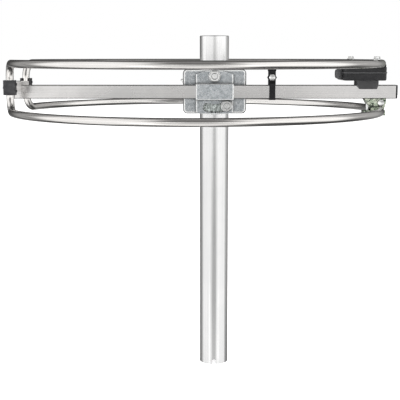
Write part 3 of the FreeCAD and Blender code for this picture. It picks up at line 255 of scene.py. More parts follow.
class Finish(Graph):
    """One procedural material, built up from noise on the piece's own coordinates."""

    def __init__(self, name, colour, roughness, metallic=1.0, specular=0.5):
        self.material = bpy.data.materials.new(name)
        self.material.use_nodes = True
        super().__init__(self.material.node_tree)
        self.shader = self.tree.nodes["Principled BSDF"]
        self.shader.inputs["Base Color"].default_value = (*colour, 1)
        self.shader.inputs["Roughness"].default_value = roughness
        self.shader.inputs["Metallic"].default_value = metallic
        self.shader.inputs["Specular IOR Level"].default_value = specular
        self.normal = None

    def coords(self, scale=(1, 1, 1), grain=False):
        """The mesh's own place in metres, or along and around a tube if grain is set."""
        if grain:
            source = self.node("ShaderNodeAttribute", attribute_name="grain").outputs["Vector"]
        else:
            source = self.node("ShaderNodeTexCoord").outputs["Object"]
        mapping = self.node("ShaderNodeMapping")
        mapping.inputs["Scale"].default_value = scale
        self.link(source, mapping.inputs["Vector"])
        return mapping.outputs["Vector"]

    def noise(self, vector, scale, detail=4.0, rough=0.55, distortion=0.0):
        made = self.node("ShaderNodeTexNoise")
        made.inputs["Scale"].default_value = scale
        made.inputs["Detail"].default_value = detail
        made.inputs["Roughness"].default_value = rough
        made.inputs["Distortion"].default_value = distortion
        self.link(vector, made.inputs["Vector"])
        return made.outputs["Fac"]

    def cells(self, vector, scale, output="Color", feature="F1"):
        made = self.node("ShaderNodeTexVoronoi", feature=feature)
        made.inputs["Scale"].default_value = scale
        self.link(vector, made.inputs["Vector"])
        return made.outputs[output]

    def remap(self, value, low, high, start=0.0, end=1.0):
        made = self.node("ShaderNodeMapRange")
        for name, number in (("From Min", low), ("From Max", high), ("To Min", start), ("To Max", end)):
            made.inputs[name].default_value = number
        self.link(value, made.inputs["Value"])
        return made.outputs["Result"]

    def blend(self, mask, first, second):
        """Mix two colours or sockets by a mask."""
        made = self.node("ShaderNodeMix", data_type="RGBA")
        self.link(mask, made.inputs[0])
        for socket, source in ((made.inputs[6], first), (made.inputs[7], second)):
            if isinstance(source, tuple):
                socket.default_value = (*source, 1)
            else:
                self.link(source, socket)
        return made.outputs[2]

    def shaded(self, colour, factor):
        """A colour made darker or lighter by a factor."""
        grey = self.node("ShaderNodeCombineColor")
        for socket in grey.inputs:
            self.link(factor, socket)
        made = self.node("ShaderNodeMix", data_type="RGBA", blend_type="MULTIPLY")
        made.inputs[0].default_value = 1.0
        self.link(colour, made.inputs[6])
        self.link(grey.outputs[0], made.inputs[7])
        return made.outputs[2]

    def cover(self, colour):
        """Use a colour or a socket as the surface's colour."""
        self.link(colour, self.shader.inputs["Base Color"])

    def gloss(self, mask, low, high, span=(0.3, 0.7)):
        self.link(self.remap(mask, span[0], span[1], low, high), self.shader.inputs["Roughness"])

    def relief(self, height, strength, distance):
        """Add a bump layer on top of those that are there already."""
        made = self.node("ShaderNodeBump")
        made.inputs["Strength"].default_value = strength
        made.inputs["Distance"].default_value = distance
        self.link(height, made.inputs["Height"])
        if self.normal is not None:
            self.link(self.normal, made.inputs["Normal"])
        self.normal = made.outputs["Normal"]
        self.link(self.normal, self.shader.inputs["Normal"])

    def painted_shade(self, colour, reach, depth, clear=0.95):
        """Paint shade into a colour: darken it in corners and gaps narrower than reach."""
        shade = self.node("ShaderNodeAmbientOcclusion", samples=8)
        shade.inputs["Distance"].default_value = reach
        return self.shaded(colour, self.remap(shade.outputs["AO"], 0.35, clear, depth, 1.0))

    def own_normal(self):
        return self.axes(self.node("ShaderNodeTexCoord").outputs["Normal"])

    def corners(self, colour, shade):
        """Darken the rounded corners between upright and level faces of drawn stock: a painted dark
        reflection along those edges.
        """
        rise = self.own_normal()["Z"]
        level = self.maths("MULTIPLY", rise, rise)
        turning = self.maths("MULTIPLY", level, self.maths("SUBTRACT", 1.0, level))
        return self.blend(self.remap(turning, 0.02, 0.1), colour, shade)

    def inset(self, low, high, corner):
        """Distance in from a round-cornered outline in X and Z, in metres."""
        place = self.axes(self.coords())
        beyond = []
        for axis in ("x", "z"):
            first, last = getattr(low, axis), getattr(high, axis)
            from_centre = self.maths("SUBTRACT", place[axis.upper()], (first + last) / 2)
            beyond.append(self.maths("SUBTRACT", self.maths("ABSOLUTE", from_centre),
                                     (last - first) / 2 - corner))
        squares = [self.maths("POWER", self.maths("MAXIMUM", over, 0.0), 2.0) for over in beyond]
        outside = self.maths("SQRT", self.maths("ADD", *squares))
        inside = self.maths("MINIMUM", self.maths("MAXIMUM", *beyond), 0.0)
        return self.maths("SUBTRACT", corner, self.maths("ADD", outside, inside))

    def painted_rim_light(self, colour, rim_highlight, edge_shade, border):
        """Paint a highlight on the start of a rolled rim, and painted shade, nearly black and not
        metallic, on its turn and on the border.
        """
        face = self.maths("ABSOLUTE", self.own_normal()["Y"])
        rim = self.blend(self.remap(face, 0.998, 0.97), colour, rim_highlight)
        turned = self.maths("MAXIMUM", self.remap(face, 0.9, 0.82), border)
        dull = self.maths("MULTIPLY", turned, self.remap(face, 0.12, 0.2))
        self.link(self.remap(dull, 0.0, 1.0, self.shader.inputs["Metallic"].default_value, 0.0),
                  self.shader.inputs["Metallic"])
        return self.blend(dull, rim, edge_shade)

    def smudges(self):
        return self.noise(self.coords(), 14.0, detail=5.0, rough=0.62, distortion=0.4)


def drawn_metal(name, colours, roughness, stretch, line_depth, grain=False):
    """Drawn or extruded aluminium: fine lines along its length, faint clouds and handling marks."""
    paint = Finish(name, colours[0], roughness[0])
    lines = paint.noise(paint.coords(stretch, grain), 1.0, detail=3.0, rough=0.7)
    clouds = paint.smudges()
    fine = tuple(side * 3.1 for side in stretch)
    scratch = paint.noise(paint.coords(fine, grain), 1.0, detail=2.0, rough=0.5)
    mixed = paint.blend(paint.remap(clouds, 0.35, 0.7), colours[0], colours[1])
    coloured = paint.shaded(mixed, paint.remap(lines, 0.25, 0.75, 0.9, 1.03))
    # Painted dark reflection (0.09) on the rounded corners of the boom and the mast's top rim.
    paint.cover(coloured if grain else paint.corners(coloured, (0.09, 0.09, 0.09)))
    paint.gloss(clouds, roughness[0], roughness[1])
    paint.relief(lines, 0.35, line_depth)
    paint.relief(scratch, 0.2, line_depth * 0.5)
    return paint.material


def galvanised(name, light, metallic, gloss, node, corner, lit_from, lit_to):
    """Hot-dip zinc: crystals a few millimetres across, each with its own shade and gloss.

    The node's outline gets painted shade at its very edge, and a painted highlight, raised a little
    by a bump, from lit_from to lit_to inside it.
    """
    paint = Finish(name, (0.6, 0.65, 0.67), 0.38, metallic=metallic)
    shades = [tuple(side * light for side in grey)
              for grey in ((0.44, 0.475, 0.5), (0.68, 0.71, 0.735), (0.86, 0.88, 0.89))]
    place = paint.coords()
    bend, crystals, finest = 1.8 * MM, 300.0, 1900.0
    bent = paint.node("ShaderNodeVectorMath", operation="MULTIPLY_ADD")
    wobble = paint.node("ShaderNodeTexNoise")
    wobble.inputs["Scale"].default_value = 260.0
    paint.link(place, wobble.inputs["Vector"])
    paint.link(wobble.outputs["Color"], bent.inputs[0])
    bent.inputs[1].default_value = (bend, bend, bend)
    paint.link(place, bent.inputs[2])
    crystal = paint.cells(bent.outputs[0], crystals)
    shade = paint.node("ShaderNodeSeparateColor")
    paint.link(crystal, shade.inputs[0])
    dust = paint.noise(place, finest, detail=3.0, rough=0.7)
    base = paint.blend(shade.outputs[0], shades[0], shades[1])
    speckled = paint.blend(paint.remap(dust, 0.55, 0.75, 0.0, 0.6), base, shades[2])
    depth = paint.inset(*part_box(node), corner)
    soft = 0.4 * MM
    lit = paint.maths("MULTIPLY", paint.remap(depth, lit_from, lit_from + soft),
                      paint.remap(depth, lit_to, lit_to - soft))
    # Painted highlight: a near-white band inset from the outline.
    rimmed = paint.blend(lit, speckled, (0.97, 0.98, 0.98))
    rimmed = paint.painted_rim_light(rimmed, (0.95, 0.96, 0.96), (0.015, 0.016, 0.018),
                            paint.remap(depth, lit_from + soft / 2, lit_from))
    paint.relief(lit, 0.6, 0.3 * MM)
    # Painted shade in corners and gaps.
    paint.cover(paint.painted_shade(rimmed, 5 * MM, 0.3))
    paint.gloss(shade.outputs[1], gloss[0], gloss[1], (0.0, 1.0))
    borders = paint.cells(bent.outputs[0], crystals, "Distance", "DISTANCE_TO_EDGE")
    paint.relief(paint.remap(borders, 0.0, 0.12), 0.25, 0.06 * MM)
    paint.relief(dust, 0.35, 0.05 * MM)
    return paint.material


def plated(name, first, second, roughness=(0.2, 0.34), patch=420.0):
    """Bright or passivated zinc plate over turned and rolled steel."""
    paint = Finish(name, first, roughness[0])
    film = paint.noise(paint.coords(), patch, detail=5.0, rough=0.6, distortion=0.8)
    speck = paint.noise(paint.coords(), 3200.0, detail=2.0)
    coat = paint.blend(paint.remap(film, 0.38, 0.66), first, second)
    # Painted shade, nearly black, in the recesses of the plated parts.
    paint.cover(paint.painted_shade(coat, 3.5 * MM, 0.04, 0.78))
    paint.gloss(speck, roughness[0], roughness[1])
    paint.relief(speck, 0.3, 0.03 * MM)
    return paint.material


def faceted(name, scale, bright, dull):
    """Passivated rough casting: small facets painted between bright and nearly black, as painted glints
    and painted shade of tilted facets.
    """
    paint = Finish(name, (0.6, 0.64, 0.5), 0.2)
    place = paint.coords()
    crystal = paint.node("ShaderNodeSeparateColor")
    paint.link(paint.cells(place, scale), crystal.inputs[0])
    film = paint.noise(place, 260.0, detail=5.0, rough=0.6, distortion=0.8)
    coat = paint.blend(paint.remap(film, 0.4, 0.6), bright, dull)
    # Painted shade: random cells go nearly black as if their facets were turned from the light.
    dark = paint.blend(paint.remap(crystal.outputs[0], 0.35, 0.95), coat, (0.07, 0.085, 0.07))
    # Painted shade in corners and gaps.
    paint.cover(paint.painted_shade(dark, 3.5 * MM, 0.2))
    paint.gloss(crystal.outputs[1], 0.12, 0.3)
    paint.relief(crystal.outputs[2], 0.8, 0.4 * MM)
    return paint.material


GRIP_RIDGE = 2.2          # degrees about the pivot from one ridge to the next


def ridged(name, crest, valley):
    """Bare zinc ridges about the pivot, darkened nearly black between them."""
    paint = Finish(name, crest, 0.3, metallic=0.8)
    pivot = middle("pivot_bolt")
    place = paint.axes(paint.coords())
    turn = paint.maths("ARCTAN2", paint.maths("SUBTRACT", place["X"], pivot.x),
                       paint.maths("SUBTRACT", pivot.z, place["Z"]))
    wave = paint.maths("SINE", paint.maths("MULTIPLY", turn, 360 / GRIP_RIDGE))
    worn = paint.noise(paint.coords(), 480.0, detail=4.0, rough=0.65)
    height = paint.maths("ADD", wave, paint.remap(worn, 0.3, 0.7, -1.6, 1.6))
    coat = paint.blend(paint.remap(height, -0.5, 0.6), valley, crest)
    # Painted shade in corners and gaps.
    paint.cover(paint.painted_shade(coat, 3.5 * MM, 0.3))
    paint.gloss(worn, 0.25, 0.45)
    paint.relief(height, 0.4, 0.1 * MM)
    return paint.material


def moulded(name, first, second, roughness, grain_scale, grain_depth, specular=0.5):
    """Moulded plastic: a fine spark-eroded grain, slight flow shading and dusty high spots."""
    paint = Finish(name, first, roughness[0], metallic=0.0, specular=specular)
    flow = paint.noise(paint.coords((1, 1, 2.5)), 90.0, detail=5.0, distortion=0.6)
    grain = paint.noise(paint.coords(), grain_scale, detail=3.0, rough=0.7)
    base = paint.blend(paint.remap(flow, 0.35, 0.7), first, second)
    lighter = tuple(min(1.0, side * 1.7 + 0.01) for side in second)
    paint.cover(paint.blend(paint.remap(grain, 0.58, 0.8, 0.0, 0.6), base, lighter))
    paint.gloss(grain, roughness[0], roughness[1])
    paint.relief(grain, 0.5, grain_depth)
    return paint.material


def board_finish():
    """Solder mask with copper tracks showing faintly below it."""
    paint = Finish("circuit_board", (0.05, 0.25, 0.12), 0.3, metallic=0.0)
    edges = paint.cells(paint.coords((1, 1, 0)), 230.0, "Distance", "DISTANCE_TO_EDGE")
    tracks = paint.remap(edges, 0.05, 0.09)
    paint.cover(paint.blend(tracks, (0.09, 0.36, 0.17), (0.03, 0.2, 0.09)))
    paint.relief(tracks, 0.4, 0.05 * MM)
    paint.gloss(paint.noise(paint.coords(), 900.0), 0.25, 0.4)
    return paint.material


def make_finishes():
    ring_grain = (6.0, 900.0, 900.0)
    return {
        "mast_aluminium": drawn_metal("mast_aluminium", ((0.83, 0.83, 0.835), (0.78, 0.785, 0.79)),
                                      (0.2, 0.27), (900.0, 900.0, 3.0), 0.02 * MM),
        "boom_aluminium": drawn_metal("boom_aluminium", ((0.8, 0.79, 0.785), (0.74, 0.735, 0.73)),
                                      (0.22, 0.3), (4.0, 1100.0, 1100.0), 0.02 * MM),
        "ring_aluminium": drawn_metal("ring_aluminium", ((0.86, 0.845, 0.83), (0.79, 0.77, 0.755)),
                                      (0.13, 0.2), ring_grain, 0.012 * MM, grain=True),
        "feed_aluminium": drawn_metal("feed_aluminium", ((0.74, 0.75, 0.7), (0.66, 0.675, 0.62)),
                                      (0.25, 0.36), ring_grain, 0.016 * MM, grain=True),
        "galvanised_steel": galvanised("galvanised_steel", 0.8, 0.8, (0.22, 0.36), "clamp_plate",
                                       corner=6 * MM, lit_from=1.1 * MM, lit_to=3.0 * MM),
        "galvanised_bracket": galvanised("galvanised_bracket", 0.86, 0.85, (0.2, 0.34), "tilt_bracket",
                                         corner=1 * MM, lit_from=0.1 * MM, lit_to=1.9 * MM),
        "grip_teeth": ridged("grip_teeth", (0.84, 0.9, 0.88), (0.04, 0.05, 0.047)),
        "zinc_hardware": plated("zinc_hardware", (0.93, 0.93, 0.92), (0.8, 0.82, 0.83), (0.12, 0.24)),
        "black_plastic": moulded("black_plastic", (0.007, 0.007, 0.008), (0.011, 0.011, 0.012),
                                 (0.34, 0.48), 2600.0, 0.06 * MM, specular=0.2),
        "box_plastic": moulded("box_plastic", (0.012, 0.012, 0.013), (0.02, 0.02, 0.021),
                               (0.2, 0.3), 2600.0, 0.03 * MM, specular=0.22),
        # Lighter plastic: grey on the gland and the box saddle, a painted highlight on the lid's bead.
        "grey_plastic_and_highlight": moulded("grey_plastic_and_highlight", (0.036, 0.036, 0.038), (0.052, 0.052, 0.054),
                                (0.3, 0.42), 2600.0, 0.04 * MM),
        "insulator_plastic": moulded("insulator_plastic", (0.022, 0.022, 0.024), (0.045, 0.045, 0.047),
                                     (0.45, 0.6), 1100.0, 0.12 * MM, specular=0.3),
        "spreader_plastic": moulded("spreader_plastic", (0.46, 0.45, 0.44), (0.36, 0.35, 0.34),
                                    (0.4, 0.55), 2200.0, 0.05 * MM),
        "cast_zinc": faceted("cast_zinc", 420.0, (0.86, 0.9, 0.76), (0.36, 0.46, 0.34)),
        "brass": plated("brass", (0.76, 0.58, 0.28), (0.62, 0.45, 0.2), (0.22, 0.36), 300.0),
        "circuit_board": board_finish(),
        "ferrite": moulded("ferrite", (0.05, 0.05, 0.055), (0.07, 0.07, 0.075), (0.6, 0.75),
                           1800.0, 0.08 * MM, specular=0.3),
    }


FINISHES = make_finishes()


# --- Mesh tools ---------------------------------------------------------------------------

def finish_mesh(bm, name, smooth_angle=32):
    """A mesh object from a bmesh, smooth except across sharp edges."""
    bmesh.ops.recalc_face_normals(bm, faces=bm.faces)
    mesh = bpy.data.meshes.new(name)
    bm.to_mesh(mesh)
    bm.free()
    mesh.polygons.foreach_set("use_smooth", [True] * len(mesh.polygons))
    mesh.set_sharp_from_angle(angle=math.radians(smooth_angle))
    piece = bpy.data.objects.new(name, mesh)
    bpy.context.scene.collection.objects.link(piece)
    return piece


def dress(piece, slot, body, *replaced, finish=None):
    """Give a piece its finish, the slot's unless another is named, attach it to the body it moves with,
    and hide the nodes it stands for.
    """
    piece.data.materials.clear()
    piece.data.materials.append(FINISHES[finish or slot])
    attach(piece, body)
    if replaced:
        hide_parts(*replaced)
    return piece


def stand_in(piece, node, finish=None):
    """Dress a piece as the replacement of one CAD node."""
    return dress(piece, node_slot[node], node_body[node], node, finish=finish)


SHARP_ANGLE = 28             # degrees; edges turning more are broken


def broken(bm, edges, width, segments):
    bmesh.ops.bevel(bm, geom=edges, offset=width, segments=segments, affect="EDGES",
                    clamp_overlap=True, profile=0.5)


def refined(node, edge, finish=None, wide=None, wide_edge=0.0):
    """A copy of a CAD node with clean faces and broken edges; wide picks edges broken further."""
    source = nodes[node].data
    bm = bmesh.new()
    corners = [bm.verts.new(vertex.co) for vertex in source.vertices]
    for polygon in source.polygons:
        try:
            bm.faces.new([corners[index] for index in polygon.vertices])
        except ValueError:
            continue
    bmesh.ops.remove_doubles(bm, verts=bm.verts, dist=0.002 * MM)
    bmesh.ops.dissolve_degenerate(bm, dist=0.001 * MM, edges=bm.edges)
    bmesh.ops.recalc_face_normals(bm, faces=bm.faces)
    bmesh.ops.dissolve_limit(bm, angle_limit=math.radians(0.4), verts=bm.verts, edges=bm.edges)

    def sharp_edges():
        return [e for e in bm.edges
                if len(e.link_faces) == 2 and e.calc_face_angle(0) > math.radians(SHARP_ANGLE)]

    if wide:
        broken(bm, [e for e in sharp_edges() if wide(*(vertex.co for vertex in e.verts))], wide_edge, 5)
    if edge:
        broken(bm, sharp_edges(), edge, 2)
    piece = finish_mesh(bm, f"{node}_finished", 38)
    weighted = piece.modifiers.new("even_shading", "WEIGHTED_NORMAL")
    weighted.keep_sharp = True
    return stand_in(piece, node, finish)


def stand(origin, axis):
    """Matrix that lifts a local +Z shape onto a point and an axis."""
    return Matrix.Translation(origin) @ axis.to_track_quat("Z", "Y").to_matrix().to_4x4()


def turns(sides):
    return [2 * math.pi * step / sides for step in range(sides)]


def polar(matrix, reach, turn, height):
    """A place by its radius, angle and height about a matrix's Z axis."""
    return matrix @ Vector((reach * math.cos(turn), reach * math.sin(turn), height))


def circle(bm, matrix, radius, height, sides):
    return [bm.verts.new(polar(matrix, radius, turn, height)) for turn in turns(sides)]


def bridge(bm, first, second):
    """Quads between two closed rings with as many points."""
    count = len(first)
    for index in range(count):
        after = (index + 1) % count
        bm.faces.new((first[index], first[after], second[after], second[index]))


def add_revolve(bm, matrix, profile, sides):
    """Solid of revolution; profile holds (radius, height) points, and radius 0 closes an end."""
    rings = []
    for radius, height in profile:
        if radius == 0:
            rings.append([bm.verts.new(matrix @ Vector((0, 0, height)))])
        else:
            rings.append(circle(bm, matrix, radius, height, sides))
    pairs = list(zip(rings, rings[1:]))
    if len(rings[0]) > 1 and len(rings[-1]) > 1:
        pairs.append((rings[-1], rings[0]))
    for low, high in pairs:
        if len(low) == 1 and len(high) == 1:
            continue
        if len(low) == 1 or len(high) == 1:
            tip, rim = (low[0], high) if len(low) == 1 else (high[0], low)
            for index in range(sides):
                bm.faces.new((tip, rim[index], rim[(index + 1) % sides]))
        else:
            bridge(bm, low, high)


def hex_radius(turn, flats):
    """Distance to a hexagon's side in a direction; a corner lies at angle 0."""
    sector = math.radians(60)
    local = (turn % sector) - sector / 2
    return flats / 2 / math.cos(local)


def add_hex(bm, matrix, flats, low, high, bore=0.0, bevel_low=True):
    """Hexagon with turned chamfers; bore 0 gives a solid head with a shallow dished crown."""
    sides, steps = 96, 4
    corner = flats / math.sqrt(3)
    drop = (corner - flats / 2) * 0.9

    def rim(height, cap):
        """The hexagon's outline at a height, turned down to a radius."""
        return [bm.verts.new(polar(matrix, min(hex_radius(turn, flats), cap), turn, height))
                for turn in turns(sides)]

    chamfer = [(drop * step / steps, flats / 2 * 0.985 + (corner - flats / 2) * step / steps)
               for step in range(steps)]
    if bevel_low:
        rows = [rim(low + inwards, cap) for inwards, cap in chamfer] + [rim(low + drop, corner)]
    else:
        rows = [rim(low, corner), rim(low + 0.05 * MM, corner)]
    rows.append(rim(high - drop, corner))
    rows += [rim(high - inwards, cap) for inwards, cap in reversed(chamfer)]
    for first, second in zip(rows, rows[1:]):
        bridge(bm, first, second)
    if bore:
        ease = 0.45 * MM
        inner = [circle(bm, matrix, radius, height, sides)
                 for radius, height in ((bore + ease, high), (bore, high - ease), (bore, low + ease),
                                        (bore + ease, low))]
        bridge(bm, rows[-1], inner[0])
        for first, second in zip(inner, inner[1:]):
            bridge(bm, first, second)
        bridge(bm, inner[-1], rows[0])
        return
    for row, height, sink in ((rows[0], low, 0.0), (rows[-1], high, 0.25 * MM)):
        dish = circle(bm, matrix, 0.62 * flats / 2, height - sink, sides)
        bridge(bm, row, dish)
        bm.faces.new(dish)


def add_thread(bm, matrix, radius, pitch, low, high, sides):
    """A closed screw thread with a slightly tapered point at its high end."""
    rows_per_turn = 6
    depth = 0.61 * pitch
    rows = max(2, int((high - low) / pitch * rows_per_turn))
    rings = []
    for row in range(rows + 1):
        height = low + (high - low) * row / rows
        ease = min(1.0, (height - low) / pitch, (high - height) / (1.2 * pitch))
        ring = []
        for step in range(sides):
            turn = 2 * math.pi * step / sides
            phase = ((height - low) / pitch - step / sides) % 1.0
            crest = 1 - abs(2 * phase - 1)
            cut = depth * min(1.0, max(0.0, 1.25 * (1 - crest) - 0.12))
            inset = cut * max(0.0, ease) + (1 - max(0.0, ease)) * depth * 0.9
            ring.append(bm.verts.new(polar(matrix, radius - inset, turn, height)))
        rings.append(ring)
    for first, second in zip(rings, rings[1:]):
        bridge(bm, first, second)
    bm.faces.new(rings[0])
    bm.faces.new(rings[-1])


def add_cross_head(bm, matrix, radius, low, high, recess):
    """Low domed screw head with a cross recess in its crown."""
    sides, rings = 96, 16

    def surface(reach, turn):
        dome = high - (high - low) * 0.45 * (reach / radius) ** 4
        x, y = abs(reach * math.cos(turn)), abs(reach * math.sin(turn))
        long, short = max(x, y), min(x, y)
        wide = max(0.0, min(1.0, (radius * 0.17 - short) / (radius * 0.07)))
        far = max(0.0, min(1.0, (radius * 0.62 - long) / (radius * 0.1)))
        return dome - recess * wide * far

    rows = []
    for ring in range(1, rings + 1):
        reach = radius * ring / rings
        rows.append([bm.verts.new(polar(matrix, reach, turn, surface(reach, turn)))
                     for turn in turns(sides)])
    centre = bm.verts.new(matrix @ Vector((0, 0, surface(0, 0))))
    for step in range(sides):
        bm.faces.new((centre, rows[0][step], rows[0][(step + 1) % sides]))
    for first, second in zip(rows, rows[1:]):
        bridge(bm, first, second)
    skirt = circle(bm, matrix, radius, low, sides)
    bridge(bm, rows[-1], skirt)
    bm.faces.new(skirt)


TUBE_SIDES = 44


def sweep_rings(bm, path, radius, grain):
    """Circles along a path, carried without twist; returns them and notes the grain of each point."""
    tangents = []
    for index in range(len(path)):
        before = path[max(0, index - 1)]
        after = path[min(len(path) - 1, index + 1)]
        tangents.append((after - before).normalized())
    side = tangents[0].cross(UP)
    side = side.normalized() if side.length > 1e-6 else Vector((1, 0, 0))
    rings = []
    travelled = 0.0
    for index, (spot, tangent) in enumerate(zip(path, tangents)):
        if index:
            travelled += (spot - path[index - 1]).length
            side = (tangents[index - 1].rotation_difference(tangent)) @ side
        up = side.cross(tangent).normalized()
        ring = []
        for turn in turns(TUBE_SIDES):
            vertex = bm.verts.new(spot + radius * (side * math.cos(turn) + up * math.sin(turn)))
            vertex[grain] = Vector((travelled, radius * math.cos(turn), radius * math.sin(turn)))
            ring.append(vertex)
        rings.append(ring)
    for first, second in zip(rings, rings[1:]):
        bridge(bm, first, second)
    return rings


def make_pipe(name, path, outer, inner):
    """Open-ended tube with rounded rims."""
    bm = bmesh.new()
    grain = bm.verts.layers.float_vector.new("grain")
    outside = sweep_rings(bm, path, outer, grain)
    inside = sweep_rings(bm, path, inner, grain)
    for end in (0, -1):
        bridge(bm, outside[end], inside[end])
    return finish_mesh(bm, name)


# --- Ring ---------------------------------------------------------------------------------

BEND_RADIUS = 20 * MM
GAP_HALF = 55.8 * MM         # from the boom's axis to the columns beside the gap
TUBE_WALL = 1.0 * MM
SPLICE_REACH = 92 * MM       # in front of and behind the boom, where feed tubes enter the ring
SPLICE_LENGTH = 20 * MM
FEED_GAP = 8 * MM
ARC_STEP = 1.2               # degrees


def ring_spot(angle, height, side):
    turn = math.radians(angle)
    return Vector((RING["x"] + RING["radius"] * math.cos(turn),
                   RING["y"] + side * RING["radius"] * math.sin(turn), height))


def arc_path(first, last, height, side):
    count = max(2, round(abs(last - first) / ARC_STEP))
    return [ring_spot(first + (last - first) * step / count, height, side) for step in range(count + 1)]


def reach_angle(reach):
    return math.degrees(math.asin(reach / RING["radius"]))


def dipole_route(side):
    """Upper arc, U-bend beside the gap, and lower arc of one half of the folded dipole."""
    radius = RING["radius"]
    column = math.asin(GAP_HALF / math.hypot(radius, BEND_RADIUS))
    leave = 180 - math.degrees(column + math.atan(BEND_RADIUS / radius))
    turn = math.radians(leave)
    ahead = Vector((-math.sin(turn), side * math.cos(turn), 0))
    top, bottom = ring_spot(leave, RING["upper"], side), ring_spot(leave, RING["lower"], side)
    steps = 14
    swing = [math.pi / 2 * step / steps for step in range(1, steps + 1)]
    down = [top + ahead * BEND_RADIUS * math.sin(t) - UP * BEND_RADIUS * (1 - math.cos(t))
            for t in swing]
    back = [bottom + ahead * BEND_RADIUS * math.cos(t) + UP * BEND_RADIUS * (1 - math.sin(t))
            for t in swing]
    column_foot = bottom + ahead * BEND_RADIUS + UP * BEND_RADIUS
    return (arc_path(reach_angle(SPLICE_REACH), leave, RING["upper"], side) + down + [column_foot] + back
            + arc_path(leave, 0, RING["lower"], side)[1:])


def make_ring():
    bore = RING["tube"] - TUBE_WALL
    for name, side in (("front", -1), ("back", 1)):
        tube = make_pipe(f"ring_half_{name}", dipole_route(side), RING["tube"], bore)
        stand_in(tube, f"dipole_tube_{name}")
        near, joint = reach_angle(FEED_GAP), reach_angle(SPLICE_REACH)
        end = reach_angle(SPLICE_REACH + SPLICE_LENGTH)
        bm = bmesh.new()
        grain = bm.verts.layers.float_vector.new("grain")
        body = sweep_rings(bm, arc_path(near, joint, RING["upper"], side), RING["tube"], grain)
        spigot = sweep_rings(bm, arc_path(joint, end, RING["upper"], side), bore, grain)
        lining = sweep_rings(bm, arc_path(near, end, RING["upper"], side), bore - TUBE_WALL, grain)
        bridge(bm, body[-1], spigot[0])
        bridge(bm, spigot[-1], lining[-1])
        bridge(bm, body[0], lining[0])
        stand_in(finish_mesh(bm, f"feed_arm_{name}"), f"feed_tube_{name}", finish="feed_aluminium")


# --- Fasteners ----------------------------------------------------------------------------

def seat(node, axis):
    """Centre of a node's lower face along an axis, and its length along that axis."""
    low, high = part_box(node)
    length = abs((high - low).dot(axis))
    return middle(node) - axis * length / 2, length


def make_nut(node, axis, flats, bore):
    origin, length = seat(node, axis)
    bm = bmesh.new()
    add_hex(bm, stand(origin, axis), flats, 0, length, bore)
    stand_in(finish_mesh(bm, f"{node}_turned"), node)


def make_washer(node, axis, bore):
    origin, thick = seat(node, axis)
    low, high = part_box(node)
    outer = (high.x - low.x) / 2
    ease = thick * 0.25
    bm = bmesh.new()
    add_revolve(bm, stand(origin, axis), [
        (bore, ease), (bore + ease, 0), (outer - ease, 0), (outer, ease),
        (outer, thick - 1.4 * ease), (outer - 1.4 * ease, thick), (bore + ease, thick),
        (bore, thick - ease)], 72)
    stand_in(finish_mesh(bm, f"{node}_stamped"), node)


# Radius and pitch of the threads.
M3 = (1.5 * MM, 0.6 * MM)
TERMINAL = (1.6 * MM, 0.6 * MM)
M4 = (2.0 * MM, 0.7 * MM)
M5 = (2.5 * MM, 0.8 * MM)
M6 = (3.0 * MM, 1.0 * MM)
M8 = (4.0 * MM, 1.25 * MM)


def make_carriage_bolt(node):
    """Domed head inside the plate's tray, and a thread through to the front."""
    origin, length = seat(node, FRONT)
    matrix = stand(origin, FRONT)
    head = 3.5 * MM
    rim = 6.75 * MM
    bm = bmesh.new()
    dome = [(0, 0), (rim * 0.45, 0.15 * MM), (rim * 0.78, 0.9 * MM), (rim * 0.95, 1.9 * MM),
            (rim, head - 0.7 * MM), (rim, head - 0.1 * MM), (rim - 0.2 * MM, head), (0, head)]
    add_revolve(bm, matrix, dome, 60)
    add_thread(bm, matrix, *M8, head - 0.4 * MM, length, 40)
    stand_in(finish_mesh(bm, f"{node}_rolled"), node)


def make_studs():
    """Both weld studs, threaded from their collar to the tip."""
    low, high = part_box("clamp_studs")
    bm = bmesh.new()
    collar, wide = 1.2 * MM, 5.5 * MM
    for x in (low.x + wide, high.x - wide):
        matrix = stand(Vector((x, low.y, (low.z + high.z) / 2)), BACK)
        add_revolve(bm, matrix, [(0, 0), (wide, 0), (wide, collar * 0.6), (4.9 * MM, collar),
                                 (4 * MM, collar + 0.4 * MM), (0, collar + 0.4 * MM)], 48)
        add_thread(bm, matrix, *M8, collar - 0.2 * MM, high.y - low.y, 32)
    stand_in(finish_mesh(bm, "weld_studs"), "clamp_studs")


def make_hex_bolt(node, axis, flats, head, thread, washer=0.0, washer_radius=0.0):
    """Bolt whose head lies at the low end of the axis; the washer under it belongs to the bolt."""
    radius, pitch = thread
    origin, length = seat(node, axis)
    matrix = stand(origin, axis)
    bm = bmesh.new()
    add_hex(bm, matrix @ Matrix.Rotation(math.pi, 4, "X"), flats, -head, 0, bevel_low=False)
    top = head
    if washer:
        top = head + washer
        add_revolve(bm, matrix, [(radius, head), (washer_radius - 0.2 * MM, head),
                                 (washer_radius, head + 0.2 * MM), (washer_radius, top - 0.15 * MM),
                                 (washer_radius - 0.15 * MM, top), (radius, top)], 60)
    plain = max(top, length * 0.45)
    add_revolve(bm, matrix, [(0, head - 0.2 * MM), (radius * 0.985, head - 0.2 * MM),
                             (radius * 0.985, plain), (0, plain)], 36)
    add_thread(bm, matrix, radius, pitch, plain - 0.2 * MM, length, 30)
    stand_in(finish_mesh(bm, f"{node}_cold_headed"), node)


def make_screws(node, axis, head_radius, thread, spots=None):
    """Cross-head screws in one node; the head lies at the high end of the axis."""
    origin, length = seat(node, axis)
    head = 1.8 * MM
    shank = length - head + 0.1 * MM
    bm = bmesh.new()
    for spot in spots or [origin]:
        matrix = stand(spot, axis)
        add_cross_head(bm, matrix, head_radius, length - head, length, head * 0.6)
        point_down = matrix @ Matrix.Translation((0, 0, shank)) @ Matrix.Rotation(math.pi, 4, "X")
        add_thread(bm, point_down, *thread, 0, shank, 24)
    stand_in(finish_mesh(bm, f"{node}_turned"), node)


